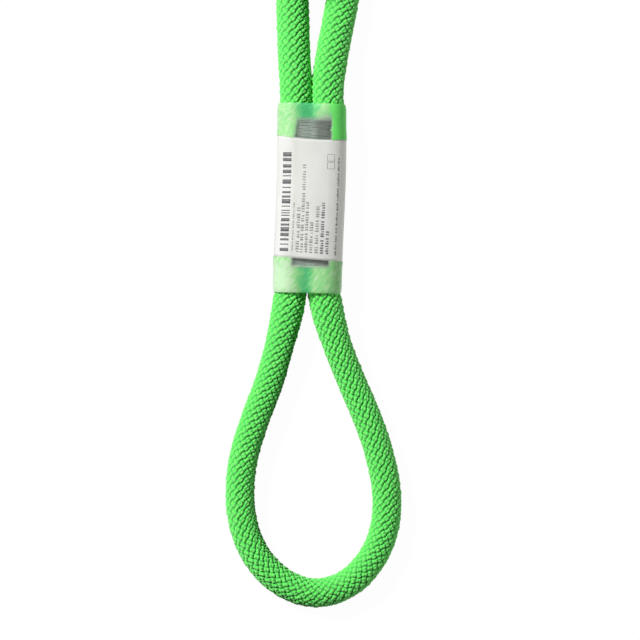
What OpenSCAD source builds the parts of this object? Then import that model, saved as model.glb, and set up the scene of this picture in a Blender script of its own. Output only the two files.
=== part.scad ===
// Double-arm lanyard of dynamic climbing rope. A sewn tie-in eye is at the low end, and the
// two arms above it end in smaller sewn eyes. The long arm is folded into a hank round the
// short one, and a hook-and-loop band holds the two at the waist.
//
// Millimetres. The lanyard lies flat: +Y up the arms, +X to the right, +Z up. It is laid out
// round the middle of the tie-in sleeve, and every piece is then moved so that the origin is
// under the middle of the whole lanyard.

/* [Rope] */
// Diameter of the rope
rope_d = 9.5; // [8.5:0.1:11.5]
// Thickness of the braided sheath
sheath_wall = 1.2; // [0.9:0.1:1.5]
// Strands of the core that lie round the middle one
core_ring_count = 6; // [4:1:6]
// Slack between neighbouring core strands, and between them and the sheath
core_slack = 0.12; // [0.08:0.02:0.3]

/* [Sewn terminations] */
// Space between the two strands of a sewn termination
strand_gap = 0.8; // [0.4:0.1:1.5]
// Length of the sleeve over the tie-in stitching
main_sleeve_len = 61; // [50:1:75]
// Length of the sleeve over the stitching of each arm's own eye
arm_sleeve_len = 55; // [44:1:60]
// Wall of a sleeve
sleeve_wall = 0.5; // [0.3:0.1:1.2]
// Length of the label under the tie-in sleeve
label_len = 39; // [20:1:45]
// Thickness of the label, and of the space it takes in every sleeve
label_wall = 0.25; // [0.1:0.05:0.4]
// Clearance between label and sleeve
label_clear = 0.05; // [0.02:0.01:0.2]

/* [Stitching] */
// Length of the stitched block of the tie-in eye
main_stitch_len = 48; // [30:0.5:49]
// Length of the stitched block of each arm's own eye
arm_stitch_len = 44; // [30:1:44]
// Width of a stitched block, across both strands
stitch_w = 10.6; // [7:0.1:12]
// Space from one row of stitches to the next
stitch_pitch = 2; // [1.5:0.1:3]
// Thickness of the sewing thread
thread_d = 0.6; // [0.4:0.05:0.9]

/* [Arm eyes] */
// Bend of an arm's own eye, as a radius in rope diameters
eye_bend = 2; // [2:0.1:2.3]
// Length over which an eye widens from its sleeve
eye_bulge = 45; // [42:1:55]

/* [Hank] */
// Bend of the hank's folds, as a radius in rope diameters
fold_bend = 3.05; // [2.9:0.05:3.3]
// Half the length of a run, from the waist to where a fold starts
run_half = 49.5; // [41:0.5:60]
// Height of one rope above the rope that it lies on
layer_gap = 0.7; // [0.45:0.05:1]

/* [Tie] */
// Width of the band
band_w = 16; // [12:1:20]
// Thickness of the band, and of the hook patch on it
band_wall = 1.5; // [1:0.1:2]
// Clearance between the band and the ropes
band_clear = 0.3; // [0.3:0.05:0.6]
// How far the band slides each way from the middle of the waist
band_slide = 5; // [0:0.5:6]

/* [Hidden] */

rope_green = "#32d74b";
core_white = "#eceae2";
thread_grey = "#5d6764";
label_white = "#efefea";
sleeve_milky = "#dff3e0";
band_black = "#1d1e20";

$fn = 48;
tiny = 0.01;
tube_sides = 8;
hank_sides = 6;
core_sides = 4;

rope_r = rope_d / 2;
flat_depth = rope_d / 10;              // the ropes rest on flats this deep
floor_z = rope_r - flat_depth;         // centre of a rope that lies on the floor
layer = rope_d + layer_gap;

// ---- sewn terminations: two strands, stitched, inside a racetrack-shaped sleeve ----
strand_x = rope_r + strand_gap / 2;    // each strand's centre, from the sleeve's own middle
stitch_proud = 0.4;                    // how far the thread stands proud of the rope
label_r = rope_r + stitch_proud + label_clear;
sleeve_r = label_r + label_wall + label_clear + sleeve_wall;
main_z = sleeve_r;                     // the tie-in sleeve rests on the floor
label_y = -0.3;                        // the label's and the stitching's middle, above
main_stitch_y = 1.8;                   // the sleeve's own
leg_inset = 0.8;                       // a stitch goes down this far in from its end

half_main = main_sleeve_len / 2;       // the tie-in sleeve's lips are this far from its middle

// ---- free rope by hand, from a lip of the tie-in sleeve: [how far it lies outside its
// strand in the sleeve, how far it is from the lip] ----
tie_in_left = [
    [0.9, 7], [3, 15.5], [6.3, 28.5], [10.8, 41.5], [14.3, 54.5], [15, 64.5],
    [13.6, 75.5], [8.3, 86.5], [-0.2, 94]
];
tie_in_right = [
    [1.6, 7], [4.4, 15], [9.8, 28], [15.5, 40.5], [20, 53.5], [22.2, 66], [21.5, 76],
    [17.3, 86], [9.3, 94], [-0.2, 96.8]
];
short_route = [
    [0.3, 7.5], [0.9, 16.5], [1.5, 26.5], [1.9, 36.5], [2, 49.5], [2, 65.5], [2, 81.5],
    [2, 97.5], [2, 113.5]
];
long_route = [
    [0.1, 7.5], [1.3, 17.5], [3, 27.5], [4.8, 38.5], [6.6, 51.5], [8.1, 65.5],
    [9.3, 80.5], [10.2, 96.5], [10.9, 112.5], [11.3, 127.5]
];
settle_run = 34;                       // rope comes down from a sleeve to the floor in this

// ---- the short arm's eye, in line with the arm ----
short_x = -2;
short_run = 132.5;                     // from the tie-in sleeve to the arm's own sleeve
short_entry_y = half_main + short_run;
short_lip_y = short_entry_y + arm_sleeve_len;
band_floor_gap = 0.3;                  // the band hangs this far above the floor
band_rise = band_floor_gap + band_wall + band_clear;
short_z = band_rise + sleeve_r;
short_settle = 30;

// ---- the hank, round the short arm's sleeve ----
hank_x = short_x;
hank_y = short_entry_y + 25;           // the waist is this far up the short arm's sleeve
fold_r = fold_bend * rope_d;
waist_straight = band_w / 2 + band_slide + 2;
waist_clear = 2.6;                     // between the short arm's sleeve and a run beside it
waist_x = strand_x + sleeve_r + waist_clear + rope_r;
waist_z = band_rise + rope_r;
fold_z = floor_z + layer;              // folds pass over the ropes that lie on the floor

// ---- the long arm's eye, on top of the hank and pointing back down ----
long_x = hank_x - 8.5;                 // left of the middle, clear of the right-hand run
long_entry_up = 7.5;                   // the sleeve starts this far up from the waist
entry_run = run_half - long_entry_up;  // length over which the rope leaves its fold
long_entry_y = hank_y + long_entry_up;
long_lip_y = long_entry_y - arm_sleeve_len;
sleeve_stack_gap = 2.2;                // between the two arms' sleeves
long_z = short_z + 2 * sleeve_r + sleeve_stack_gap;
crest_z = fold_z + layer;              // where the eye crosses the hank's lower fold
crest_run = 16;
// past the middle of the fold that it crosses, the eye hangs down to the arms
droop_from = long_lip_y - (hank_y - run_half - fold_r) - 1;
droop = 7;
eye_r = eye_bend * rope_d;
tail_inset = 3;                        // the cut end of the rope stays inside its sleeve

// =============================== curves and tubes ===============================

function smooth(t) = let (u = min(1, max(0, t))) u * u * (3 - 2 * u);

function unit(v) = v / norm(v);

// A point between b and c of a smooth line through a, b, c and d
function between(a, b, c, d, t) =
    (2 * b + (c - a) * t + (2 * a - 5 * b + 4 * c - d) * t * t
        + (3 * b - a - 3 * c + d) * t * t * t) / 2;

// Stations along a smooth line through the points p, n to each gap
function through(p, n) =
    let (last = len(p) - 1)
    concat(
        [for (i = [0:last - 1], k = [0:n - 1])
            between(p[max(i - 1, 0)], p[i], p[i + 1], p[min(i + 2, last)], k / n)],
        [p[last]]);

function along(s, i) = unit(s[min(i + 1, len(s) - 1)] - s[max(i - 1, 0)]);
function across(s, i) = unit(cross(along(s, i), [0, 0, 1]));
function upward(s, i) = cross(across(s, i), along(s, i));
function above_floor(p) = [p.x, p.y, max(p.z, 0)];

// One ring of n points round station i, with a flat side down
function ring(s, i, r, n, off = [0, 0]) =
    [for (k = [0:n - 1])
        let (a = -90 + 180 / n + 360 * k / n)
        above_floor(s[i] + (off.x + r * cos(a)) * across(s, i)
            + (off.y + r * sin(a)) * upward(s, i))];

function rings(s, r, n, off = [0, 0]) =
    [for (i = [0:len(s) - 1]) each ring(s, i, r, n, off)];

// Side faces of m rings of n points, from point number `first`
function sides(m, n, first = 0) =
    [for (i = [0:m - 2], k = [0:n - 1])
        let (a = first + i * n + k, b = first + i * n + (k + 1) % n)
        each [[a, b, b + n], [a, b + n, a + n]]];

function turned(faces) = [for (f = faces) [f[0], f[2], f[1]]];

// A washer of faces between two rings that start at points a and b
function washer(a, b, n) =
    [for (k = [0:n - 1])
        let (j = (k + 1) % n)
        each [[a + k, a + j, b + j], [a + k, b + j, b + k]]];

function fan(a, n) = [for (k = [1:n - 2]) [a, a + k, a + k + 1]];

// A hollow tube along the stations s
module hollow_tube(s, r, bore_r, n) {
    m = len(s);
    polyhedron(
        points = concat(rings(s, r, n), rings(s, bore_r, n)),
        faces = concat(
            sides(m, n),
            turned(sides(m, n, m * n)),
            turned(washer(0, m * n, n)),
            washer((m - 1) * n, (2 * m - 1) * n, n)),
        convexity = 10);
}

// A solid tube along the stations s, off their centre line by off
module solid_tube(s, r, n, off) {
    m = len(s);
    polyhedron(
        points = rings(s, r, n, off),
        faces = concat(sides(m, n), turned(fan(0, n)), fan((m - 1) * n, n)),
        convexity = 10);
}

// ================================ the rope's routes ================================

main_lift = main_z - floor_z;
short_lift = short_z - floor_z;
waist_lift = waist_z - floor_z;
function lift_off(from_lip) = main_lift * (1 - smooth(from_lip / settle_run));

// A hand-chosen point p: side is 1 right or -1 left, end is 1 at the arms or -1 at the eye
function free_point(p, side, end) =
    [side * (strand_x + p[0]), end * (half_main + p[1]), floor_z + lift_off(p[1])];

// A strand in the tie-in sleeve, from its middle to a lip
function main_strand(side, end) =
    [for (t = [0, 0.5, 1]) [side * strand_x, end * t * half_main, main_z]];

function reversed(s) = [for (i = [len(s) - 1:-1:0]) s[i]];

function tie_in_line() = concat(
    main_strand(-1, -1),
    [for (p = tie_in_left) free_point(p, -1, -1)],
    reversed([for (p = tie_in_right) free_point(p, 1, -1)]),
    reversed(main_strand(1, -1)));

climb_run = 44;                        // the arms rise off the floor to the waist in this
function climbed(p, top_y, high) =
    [p.x, p.y, p.z + high * smooth((p.y - top_y + climb_run) / climb_run)];

function short_line() = concat(
    main_strand(-1, 1),
    [for (p = short_route) climbed(free_point(p, -1, 1), short_entry_y, short_lift)],
    [for (t = [0, 0.5, 1])
        [short_x - strand_x, short_entry_y + t * arm_sleeve_len / 2, short_z]]);

waist_low_y = hank_y - waist_straight;
function long_line() = concat(
    main_strand(1, 1),
    [for (p = long_route) climbed(free_point(p, 1, 1), waist_low_y, waist_lift)],
    [[hank_x + waist_x, waist_low_y, waist_z], [hank_x + waist_x, hank_y, waist_z]]);

// One run of the hank: side is 1 right or -1 left, way is 1 up or -1 down, and the rope
// leaves a fold at height from_z, passes the waist at waist height z and meets the next
// fold at to_z
waist_t = waist_straight / run_half;
widening_t = (1 + waist_t) / 2;
run_steps = [-1, -widening_t, -waist_t, waist_t, widening_t, 1];
function widened(t) = smooth((abs(t) * run_half - waist_straight) / (run_half - waist_straight));
function run_point(t, side, way, from_z, z, to_z) = [
    hank_x + side * (waist_x + (fold_r - waist_x) * widened(t)),
    hank_y + way * t * run_half,
    z + ((t < 0 ? from_z : to_z) - z) * widened(t)];
function run(side, way, from_z, z, to_z, steps = run_steps) =
    [for (t = steps) run_point(t, side, way, from_z, z, to_z)];

// One fold: end is 1 at the top and -1 at the bottom, and both turn anticlockwise
fold_count = 7;
function fold(end, z) =
    [for (k = [1:fold_count - 1])
        let (a = 180 * k / fold_count)
        [hank_x + end * fold_r * cos(a), hank_y + end * (run_half + fold_r * sin(a)), z]];

// The rope's way from the last fold into the long arm's sleeve, as far as its middle
function entry_point(t) = [
    hank_x - fold_r + (long_x - strand_x - hank_x + fold_r) * smooth(t),
    hank_y + run_half - t * entry_run,
    crest_z + (long_z - crest_z) * smooth(t)];
entry_count = 5;
function entry() = concat(
    [for (k = [0:entry_count]) entry_point(k / entry_count)],
    [[long_x - strand_x, long_entry_y - arm_sleeve_len / 4, long_z],
        [long_x - strand_x, long_entry_y - arm_sleeve_len / 2, long_z]]);

// One and a half loops, from the right of the waist: each loop lies on the one before
first_steps = [0, waist_t, widening_t, 1];
function hank_line() = concat(
    run(1, 1, waist_z, waist_z, fold_z, first_steps),
    fold(1, fold_z),
    run(-1, -1, fold_z, waist_z, fold_z),
    fold(-1, fold_z),
    run(1, 1, fold_z, waist_z + layer, crest_z),
    fold(1, crest_z),
    entry());

// An arm's own eye in the sleeve's own frame: [distance past the lip, distance across]
bulge_steps = [0.2, 0.4, 0.6, 0.8, 1];
eye_fold_count = 8;
function bulge(t) = [t * eye_bulge, strand_x + (eye_r - strand_x) * smooth(t)];
function eye_outline() = concat(
    [[-arm_sleeve_len / 2, -strand_x], [-arm_sleeve_len / 4, -strand_x], [0, -strand_x]],
    [for (t = bulge_steps) [bulge(t)[0], -bulge(t)[1]]],
    [for (k = [1:eye_fold_count - 1])
        let (a = 180 * k / eye_fold_count)
        [eye_bulge + eye_r * sin(a), -eye_r * cos(a)]],
    [for (k = [len(bulge_steps) - 1:-1:0]) bulge(bulge_steps[k])],
    [[0, strand_x], [-arm_sleeve_len / 2, strand_x],
        [tail_inset - arm_sleeve_len, strand_x]]);

function short_eye_line() =
    [for (p = eye_outline())
        [short_x + p[1], short_lip_y + p[0],
            short_z - short_lift * smooth(p[0] / short_settle)]];

eye_tip = eye_bulge + eye_r;
function long_eye_line() =
    [for (p = eye_outline())
        [long_x + p[1], long_lip_y - p[0],
            long_z + (crest_z - long_z) * smooth(p[0] / crest_run)
                - droop * smooth((p[0] - droop_from) / (eye_tip - droop_from))]];

// =========================== measures, and the frame's origin ===========================

function run_length(s) =
    [for (i = 1, d = norm(s[1] - s[0]); i < len(s); i = i + 1,
        d = i < len(s) ? d + norm(s[i] - s[i - 1]) : d) d];
function length_of(s) = let (d = run_length(s)) d[len(d) - 1];

// The least gap of a rope to itself, between stations further apart than `far` along it
far = 3 * rope_d;
function least_gap(s) =
    let (fine = through(s, 3), d = concat([0], run_length(fine)))
    min([for (i = [0:len(fine) - 1], j = [i + 1:len(fine) - 1])
        if (d[j] - d[i] > far) norm(fine[i] - fine[j])]) - rope_d;

hank_gap = least_gap(hank_line());
echo(hank_least_gap_to_itself_mm = hank_gap);

arm_free = length_of(long_line()) - half_main + length_of(hank_line()) - arm_sleeve_len / 2;
bearing_below = max([for (p = tie_in_right) p[1]]) - rope_r;
bearing_above = eye_tip - rope_r;      // both from a sleeve's lip
echo(long_arm_between_bearings_mm =
    bearing_below + main_sleeve_len + arm_free + arm_sleeve_len + bearing_above);
echo(short_arm_between_bearings_mm = bearing_below + half_main + short_lip_y + bearing_above);

outer_points = concat(
    rings(tie_in_line(), rope_r, tube_sides), rings(hank_line(), rope_r, hank_sides),
    rings(short_eye_line(), rope_r, tube_sides), rings(long_eye_line(), rope_r, tube_sides));
xs = [for (p = outer_points) p.x];
ys = [for (p = outer_points) p.y];
centre_x = (min(xs) + max(xs)) / 2;
centre_y = (min(ys) + max(ys)) / 2;

// Moves a piece from the tie-in sleeve's frame to the lanyard's own
module placed() {
    translate([-centre_x, -centre_y, 0]) children();
}

// ================================= sheath and core =================================

module sheath(s, n = tube_sides) {
    color(rope_green) placed() hollow_tube(s, rope_r, rope_r - sheath_wall, n);
}

// The strands fit the bore of the sheath with the fewest sides
core_space = (rope_r - sheath_wall) * cos(180 / hank_sides) - core_slack;
core_r = (core_space - core_slack) / 3;
module core(s) {
    color(core_white) placed() {
        solid_tube(s, core_r, core_sides, [0, 0]);
        for (k = [0:core_ring_count - 1]) {
            a = 360 * k / core_ring_count;
            solid_tube(s, core_r, core_sides, (core_space - core_r) * [cos(a), sin(a)]);
        }
    }
}

module sheath_tie_in_eye() { sheath(tie_in_line()); }
module sheath_short_arm() { sheath(short_line()); }
module sheath_short_arm_eye() { sheath(short_eye_line()); }
module sheath_long_arm() { sheath(long_line()); }
module sheath_long_arm_hank() { sheath(hank_line(), hank_sides); }
module sheath_long_arm_eye() { sheath(long_eye_line()); }

module core_tie_in_eye() { core(tie_in_line()); }
module core_short_arm() { core(short_line()); }
module core_short_arm_eye() { core(short_eye_line()); }
module core_long_arm() { core(long_line()); }
module core_long_arm_hank() { core(hank_line()); }
module core_long_arm_eye() { core(long_eye_line()); }

// ============================== stitching, label, sleeves ==============================

// Outline of a termination, at radius r from both strands' centres
module racetrack(r) {
    for (side = [-1, 1]) translate([side * strand_x, 0]) circle(r = r);
    square([2 * strand_x, 2 * r], center = true);
}

// A wall of that outline, len long in Y, round the middle of a termination
module racetrack_wall(r, wall, len) {
    rotate([90, 0, 0]) linear_extrude(height = len, center = true)
        difference() {
            racetrack(r + wall);
            racetrack(r);
        }
}

// One lockstitch: a closed loop of thread that goes down through both strands
module stitch() {
    half_h = rope_r + stitch_proud;
    for (up = [-1, 1]) translate([0, 0, up * (half_h - thread_d / 2)])
        cube([stitch_w, thread_d, thread_d], center = true);
    for (side = [-1, 1]) translate([side * (stitch_w / 2 - leg_inset), 0, 0])
        cube([thread_d, thread_d, 2 * half_h - thread_d + tiny], center = true);
}

// A block of stitches, len long in Y
module stitch_block(len) {
    rows = floor(len / stitch_pitch);
    for (k = [0:rows - 1]) translate([0, (k - (rows - 1) / 2) * stitch_pitch, 0]) stitch();
}

module main_stitching() {
    color(thread_grey) placed() translate([0, main_stitch_y, main_z])
        stitch_block(main_stitch_len);
}

module main_label() {
    color(label_white) placed() translate([0, label_y, main_z])
        racetrack_wall(label_r, label_wall, label_len);
}

module sleeve_at(x, y, z, len) {
    color(sleeve_milky) placed() translate([x, y, z])
        racetrack_wall(sleeve_r - sleeve_wall, sleeve_wall, len);
}

module stitching_at(x, y, z) {
    color(thread_grey) placed() translate([x, y, z]) stitch_block(arm_stitch_len);
}

short_mid_y = short_lip_y - arm_sleeve_len / 2;
long_mid_y = long_lip_y + arm_sleeve_len / 2;

module main_sleeve() { sleeve_at(0, 0, main_z, main_sleeve_len); }
module short_arm_sleeve() { sleeve_at(short_x, short_mid_y, short_z, arm_sleeve_len); }
module short_arm_stitching() { stitching_at(short_x, short_mid_y, short_z); }
module long_arm_sleeve() { sleeve_at(long_x, long_mid_y, long_z, arm_sleeve_len); }
module long_arm_stitching() { stitching_at(long_x, long_mid_y, long_z); }

// ====================================== the tie ======================================

// What the band goes round at the waist: [x, z, radius] of the ropes and the upper sleeve
bundle = [
    [hank_x - waist_x, waist_z, rope_r], [hank_x + waist_x, waist_z, rope_r],
    [hank_x + waist_x, waist_z + layer, rope_r],
    [long_x + strand_x, long_z, sleeve_r], [long_x - strand_x, long_z, sleeve_r]
];

// The point of a taut wrap, grown by g, that faces the angle a
function reach(c, a) = c[0] * cos(a) + c[1] * sin(a) + c[2];
function facing(a) =
    let (best = max([for (c = bundle) reach(c, a)]))
    [for (c = bundle) if (reach(c, a) > best - tiny / 100) c][0];
function wrap_point(g, a) =
    let (c = facing(a)) [c[0] + (c[2] + g) * cos(a), c[1] + (c[2] + g) * sin(a)];
wrap_step = 7.5;
function wrap(g, from = 0, to = 360 - wrap_step) =
    [for (a = [from:wrap_step:to]) wrap_point(g, a)];

// A flat outline in X and Z made a band of width w round the waist
module round_waist(w) {
    placed() translate([0, hank_y, 0]) rotate([90, 0, 0])
        linear_extrude(height = w, center = true) children();
}

band_outer = band_clear + band_wall;

module tie_band() {
    color(band_black) round_waist(band_w)
        difference() {
            polygon(wrap(band_outer));
            polygon(wrap(band_clear));
        }
}

// The band's hook end lies over the top of the bundle and down its right side
patch_from = 15;
patch_to = 112.5;
patch_margin = 0.75;
module tie_hook_patch() {
    color(band_black) round_waist(band_w - 2 * patch_margin)
        polygon(concat(
            wrap(band_outer, patch_from, patch_to),
            [for (a = [patch_to:-wrap_step:patch_from]) wrap_point(band_outer + band_wall, a)]));
}

// Two rows of thread sew the hook end to the band, near its start
tie_stitch_count = 5;
tie_stitch_gap = 0.6;
tie_stitch_rise = 0.5;
tie_stitch_pitch = (band_w - 2 * patch_margin - 1.5) / tie_stitch_count;
module tie_stitching() {
    color(thread_grey) for (a = [patch_to - wrap_step, patch_to - 3 * wrap_step])
        for (k = [0:tie_stitch_count - 1])
            let (p = wrap_point(band_outer + band_wall, a),
                y = hank_y + (k - (tie_stitch_count - 1) / 2) * tie_stitch_pitch)
            placed() translate([p[0], y, p[1]]) rotate([0, 90 - a, 0])
                translate([0, 0, tie_stitch_rise / 2])
                    cube([thread_d, tie_stitch_pitch - tie_stitch_gap, tie_stitch_rise],
                        center = true);
}

sheath_tie_in_eye();
sheath_short_arm();
sheath_short_arm_eye();
sheath_long_arm();
sheath_long_arm_hank();
sheath_long_arm_eye();
core_tie_in_eye();
core_short_arm();
core_short_arm_eye();
core_long_arm();
core_long_arm_hank();
core_long_arm_eye();
main_stitching();
main_label();
main_sleeve();
short_arm_stitching();
short_arm_sleeve();
long_arm_stitching();
long_arm_sleeve();
tie_band();
tie_hook_patch();
tie_stitching();
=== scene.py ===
"""Looks of a double-arm lanyard of braided dynamic rope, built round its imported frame.

The rope is one unbroken length that two arms and three sewn eyes share. Its centreline is the
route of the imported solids, and the braid, the seams, the sleeves, the label and the tie are
surfaces worked out from that route. Sizes are millimetres round the middle of the tie-in
sleeve until a surface becomes a mesh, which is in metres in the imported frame.
"""

import sys
import logging
import math
from dataclasses import dataclass, field
from enum import Enum, IntEnum

import bpy
import numpy as np
from mathutils import Matrix, Vector


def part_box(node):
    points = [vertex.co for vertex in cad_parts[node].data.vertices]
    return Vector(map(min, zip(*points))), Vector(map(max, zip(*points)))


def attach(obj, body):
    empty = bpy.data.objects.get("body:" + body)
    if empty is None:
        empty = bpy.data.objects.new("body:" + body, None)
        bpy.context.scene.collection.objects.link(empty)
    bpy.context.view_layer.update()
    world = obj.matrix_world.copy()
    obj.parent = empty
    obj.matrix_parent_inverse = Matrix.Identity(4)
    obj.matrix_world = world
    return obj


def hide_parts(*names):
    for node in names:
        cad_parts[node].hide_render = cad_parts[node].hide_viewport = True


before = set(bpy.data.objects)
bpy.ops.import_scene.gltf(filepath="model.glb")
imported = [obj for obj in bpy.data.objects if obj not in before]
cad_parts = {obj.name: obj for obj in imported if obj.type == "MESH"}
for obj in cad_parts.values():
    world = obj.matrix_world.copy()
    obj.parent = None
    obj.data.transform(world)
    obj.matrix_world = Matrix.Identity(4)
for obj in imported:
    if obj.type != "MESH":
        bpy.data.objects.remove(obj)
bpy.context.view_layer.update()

log = logging.getLogger("lanyard")

Array = np.ndarray
Pair = tuple[Array, Array]
Socket = bpy.types.NodeSocket
Material = bpy.types.Material
Colour = tuple[float, float, float, float]

MM = 0.001
BODY = "lanyard"
TIE_BODY = "hank_tie"
ALONG_X = (1.0, 0.0, 0.0)
ALONG_Y = (0.0, 1.0, 0.0)
UP = (0.0, 0.0, 1.0)


class Side(IntEnum):
    """A side of the lanyard, as the sign of its places across."""

    LEFT = -1
    RIGHT = 1


class Way(IntEnum):
    """A way along the lanyard or up from it, as the sign of its places."""

    DOWN = -1
    UP = 1


class Blend(Enum):
    """How a colour is laid over another one."""

    MIX = "MIX"
    MULTIPLY = "MULTIPLY"


# ---- curves and surfaces ----


def smooth(t: Array | float) -> Array:
    """The smooth step 3u^2 - 2u^3, where u is t held between 0 and 1."""
    u = np.clip(t, 0.0, 1.0)
    return u * u * (3.0 - 2.0 * u)


def unit(v: Array) -> Array:
    """Each vector of an array, made one long."""
    return v / np.linalg.norm(v, axis=-1, keepdims=True)


def arc_lengths(lines: Array) -> Array:
    """Length from a line's start to each of its points, for one line or for many at once."""
    steps = np.linalg.norm(np.diff(lines, axis=-2), axis=-1)
    return np.concatenate([np.zeros((*steps.shape[:-1], 1)), np.cumsum(steps, axis=-1)], axis=-1)


def resampled(at: Array, known: Array, values: Array) -> Array:
    """Columns of values that are known at some lengths, read at other lengths."""
    return np.stack([np.interp(at, known, column) for column in values.T], -1)


def profile(x: Array, stops: tuple[tuple[float, float], ...]) -> Array:
    """Values at places x, on straight lines between stops of a place and a value."""
    places, values = zip(*stops)
    return np.interp(x, places, values)


def spline_through(points: Array, step: float) -> Pair:
    """A smooth line through points, as a cubic Hermite spline over the chords' lengths.

    The slope at a point is the mean of the slopes of the two chords that meet there, each
    weighted by the length of the other one.

    Args:
        points: the points, one a row.
        step: the space between samples, along the chords.

    Returns:
        The samples, and for each point the length of the line from its start.
    """
    chords = np.diff(points, axis=0)
    gaps = np.linalg.norm(chords, axis=1)
    knots = np.concatenate([[0.0], np.cumsum(gaps)])
    slopes = chords / gaps[:, None]
    before, after = gaps[:-1, None], gaps[1:, None]
    inner = (slopes[:-1] * after + slopes[1:] * before) / (before + after)
    tangents = np.vstack([slopes[:1], inner, slopes[-1:]])
    at = np.linspace(0.0, knots[-1], int(knots[-1] / step) + 1)
    k = np.clip(np.searchsorted(knots, at, side="right") - 1, 0, len(gaps) - 1)
    h = gaps[k][:, None]
    u = ((at - knots[k]) / gaps[k])[:, None]
    line = (
        (2 * u**3 - 3 * u**2 + 1) * points[k]
        + (u**3 - 2 * u**2 + u) * h * tangents[k]
        + (3 * u**2 - 2 * u**3) * points[k + 1]
        + (u**3 - u**2) * h * tangents[k + 1]
    )
    return line, np.interp(knots, at, arc_lengths(line))


@dataclass
class Surface:
    """A surface on its way to a mesh, in millimetres round the tie-in sleeve."""

    points: Array  # the vertices, one a row
    quads: Array  # faces of four corners, as rows of vertex numbers, anticlockwise from outside
    # Faces of three corners, listed after the quads.
    triangles: Array = field(default_factory=lambda: np.zeros((0, 3), int))
    # UV maps, each with a row for every corner of every face.
    maps: dict[str, Array] = field(default_factory=dict)
    # Attributes with a number for every vertex.
    values: dict[str, Array] = field(default_factory=dict)

    @staticmethod
    def joined(parts: "list[Surface]") -> "Surface":
        """Several surfaces as one.

        Args:
            parts: the surfaces, which all have the maps and values that the first one has.

        Returns:
            The surface, with its triangles after its quads.
        """
        starts = np.cumsum([0] + [len(p.points) for p in parts[:-1]])
        corners = [4 * len(p.quads) for p in parts]
        return Surface(
            np.vstack([p.points for p in parts]),
            np.vstack([p.quads + s for p, s in zip(parts, starts)]),
            np.vstack([p.triangles + s for p, s in zip(parts, starts)]),
            {
                name: np.vstack(
                    [p.maps[name][:n] for p, n in zip(parts, corners)]
                    + [p.maps[name][n:] for p, n in zip(parts, corners)]
                )
                for name in parts[0].maps
            },
            {name: np.concatenate([p.values[name] for p in parts]) for name in parts[0].values},
        )

    def build(self, name: str, origin: Array) -> bpy.types.Object:
        """Puts the surface into a smooth-shaded mesh object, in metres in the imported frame.

        Args:
            name: the new object's name.
            origin: the middle of the tie-in sleeve on the floor, in metres.

        Returns:
            The object, at the frame's origin.
        """
        mesh = bpy.data.meshes.new(name)
        mesh.vertices.add(len(self.points))
        mesh.vertices.foreach_set("co", (self.points * MM + origin).astype(np.float32).ravel())
        corners = np.concatenate([self.quads.ravel(), self.triangles.ravel()])
        counts = np.repeat([4, 3], [len(self.quads), len(self.triangles)])
        mesh.loops.add(len(corners))
        mesh.loops.foreach_set("vertex_index", corners.astype(np.int32))
        mesh.polygons.add(len(counts))
        starts = np.concatenate([[0], np.cumsum(counts[:-1])])
        mesh.polygons.foreach_set("loop_start", starts.astype(np.int32))
        mesh.update(calc_edges=True)
        mesh.polygons.foreach_set("use_smooth", np.ones(len(counts), bool))
        for key, uv in self.maps.items():
            layer = mesh.uv_layers.new(name=key)
            layer.uv.foreach_set("vector", uv.astype(np.float32).ravel())
        for key, value in self.values.items():
            attribute = mesh.attributes.new(key, "FLOAT", "POINT")
            attribute.data.foreach_set("value", value.astype(np.float32))
        made = bpy.data.objects.new(name, mesh)
        bpy.context.scene.collection.objects.link(made)
        return made


def grid_faces(rows: int, columns: int, first: int = 0, turned: bool = False) -> Array:
    """Quads of a tube whose rings are rows of a grid, each closed on itself.

    Args:
        rows: how many rings.
        columns: how many points a ring has.
        first: the number of the first point.
        turned: whether the faces look inwards.

    Returns:
        Vertex numbers, four to a face.
    """
    r, c = np.mgrid[0 : rows - 1, 0:columns]
    a = first + r * columns + c
    b = first + r * columns + (c + 1) % columns
    faces = np.stack([a, b, b + columns, a + columns], -1).reshape(-1, 4)
    return faces[:, ::-1] if turned else faces


def fan(hub: int, first: int, columns: int, turned: bool = False) -> Array:
    """Triangles that close a ring of that many points round the point number hub."""
    k = np.arange(columns)
    rim = [first + k, first + (k + 1) % columns]
    return np.stack([np.full(columns, hub), *(rim[::-1] if turned else rim)], -1)


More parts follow.
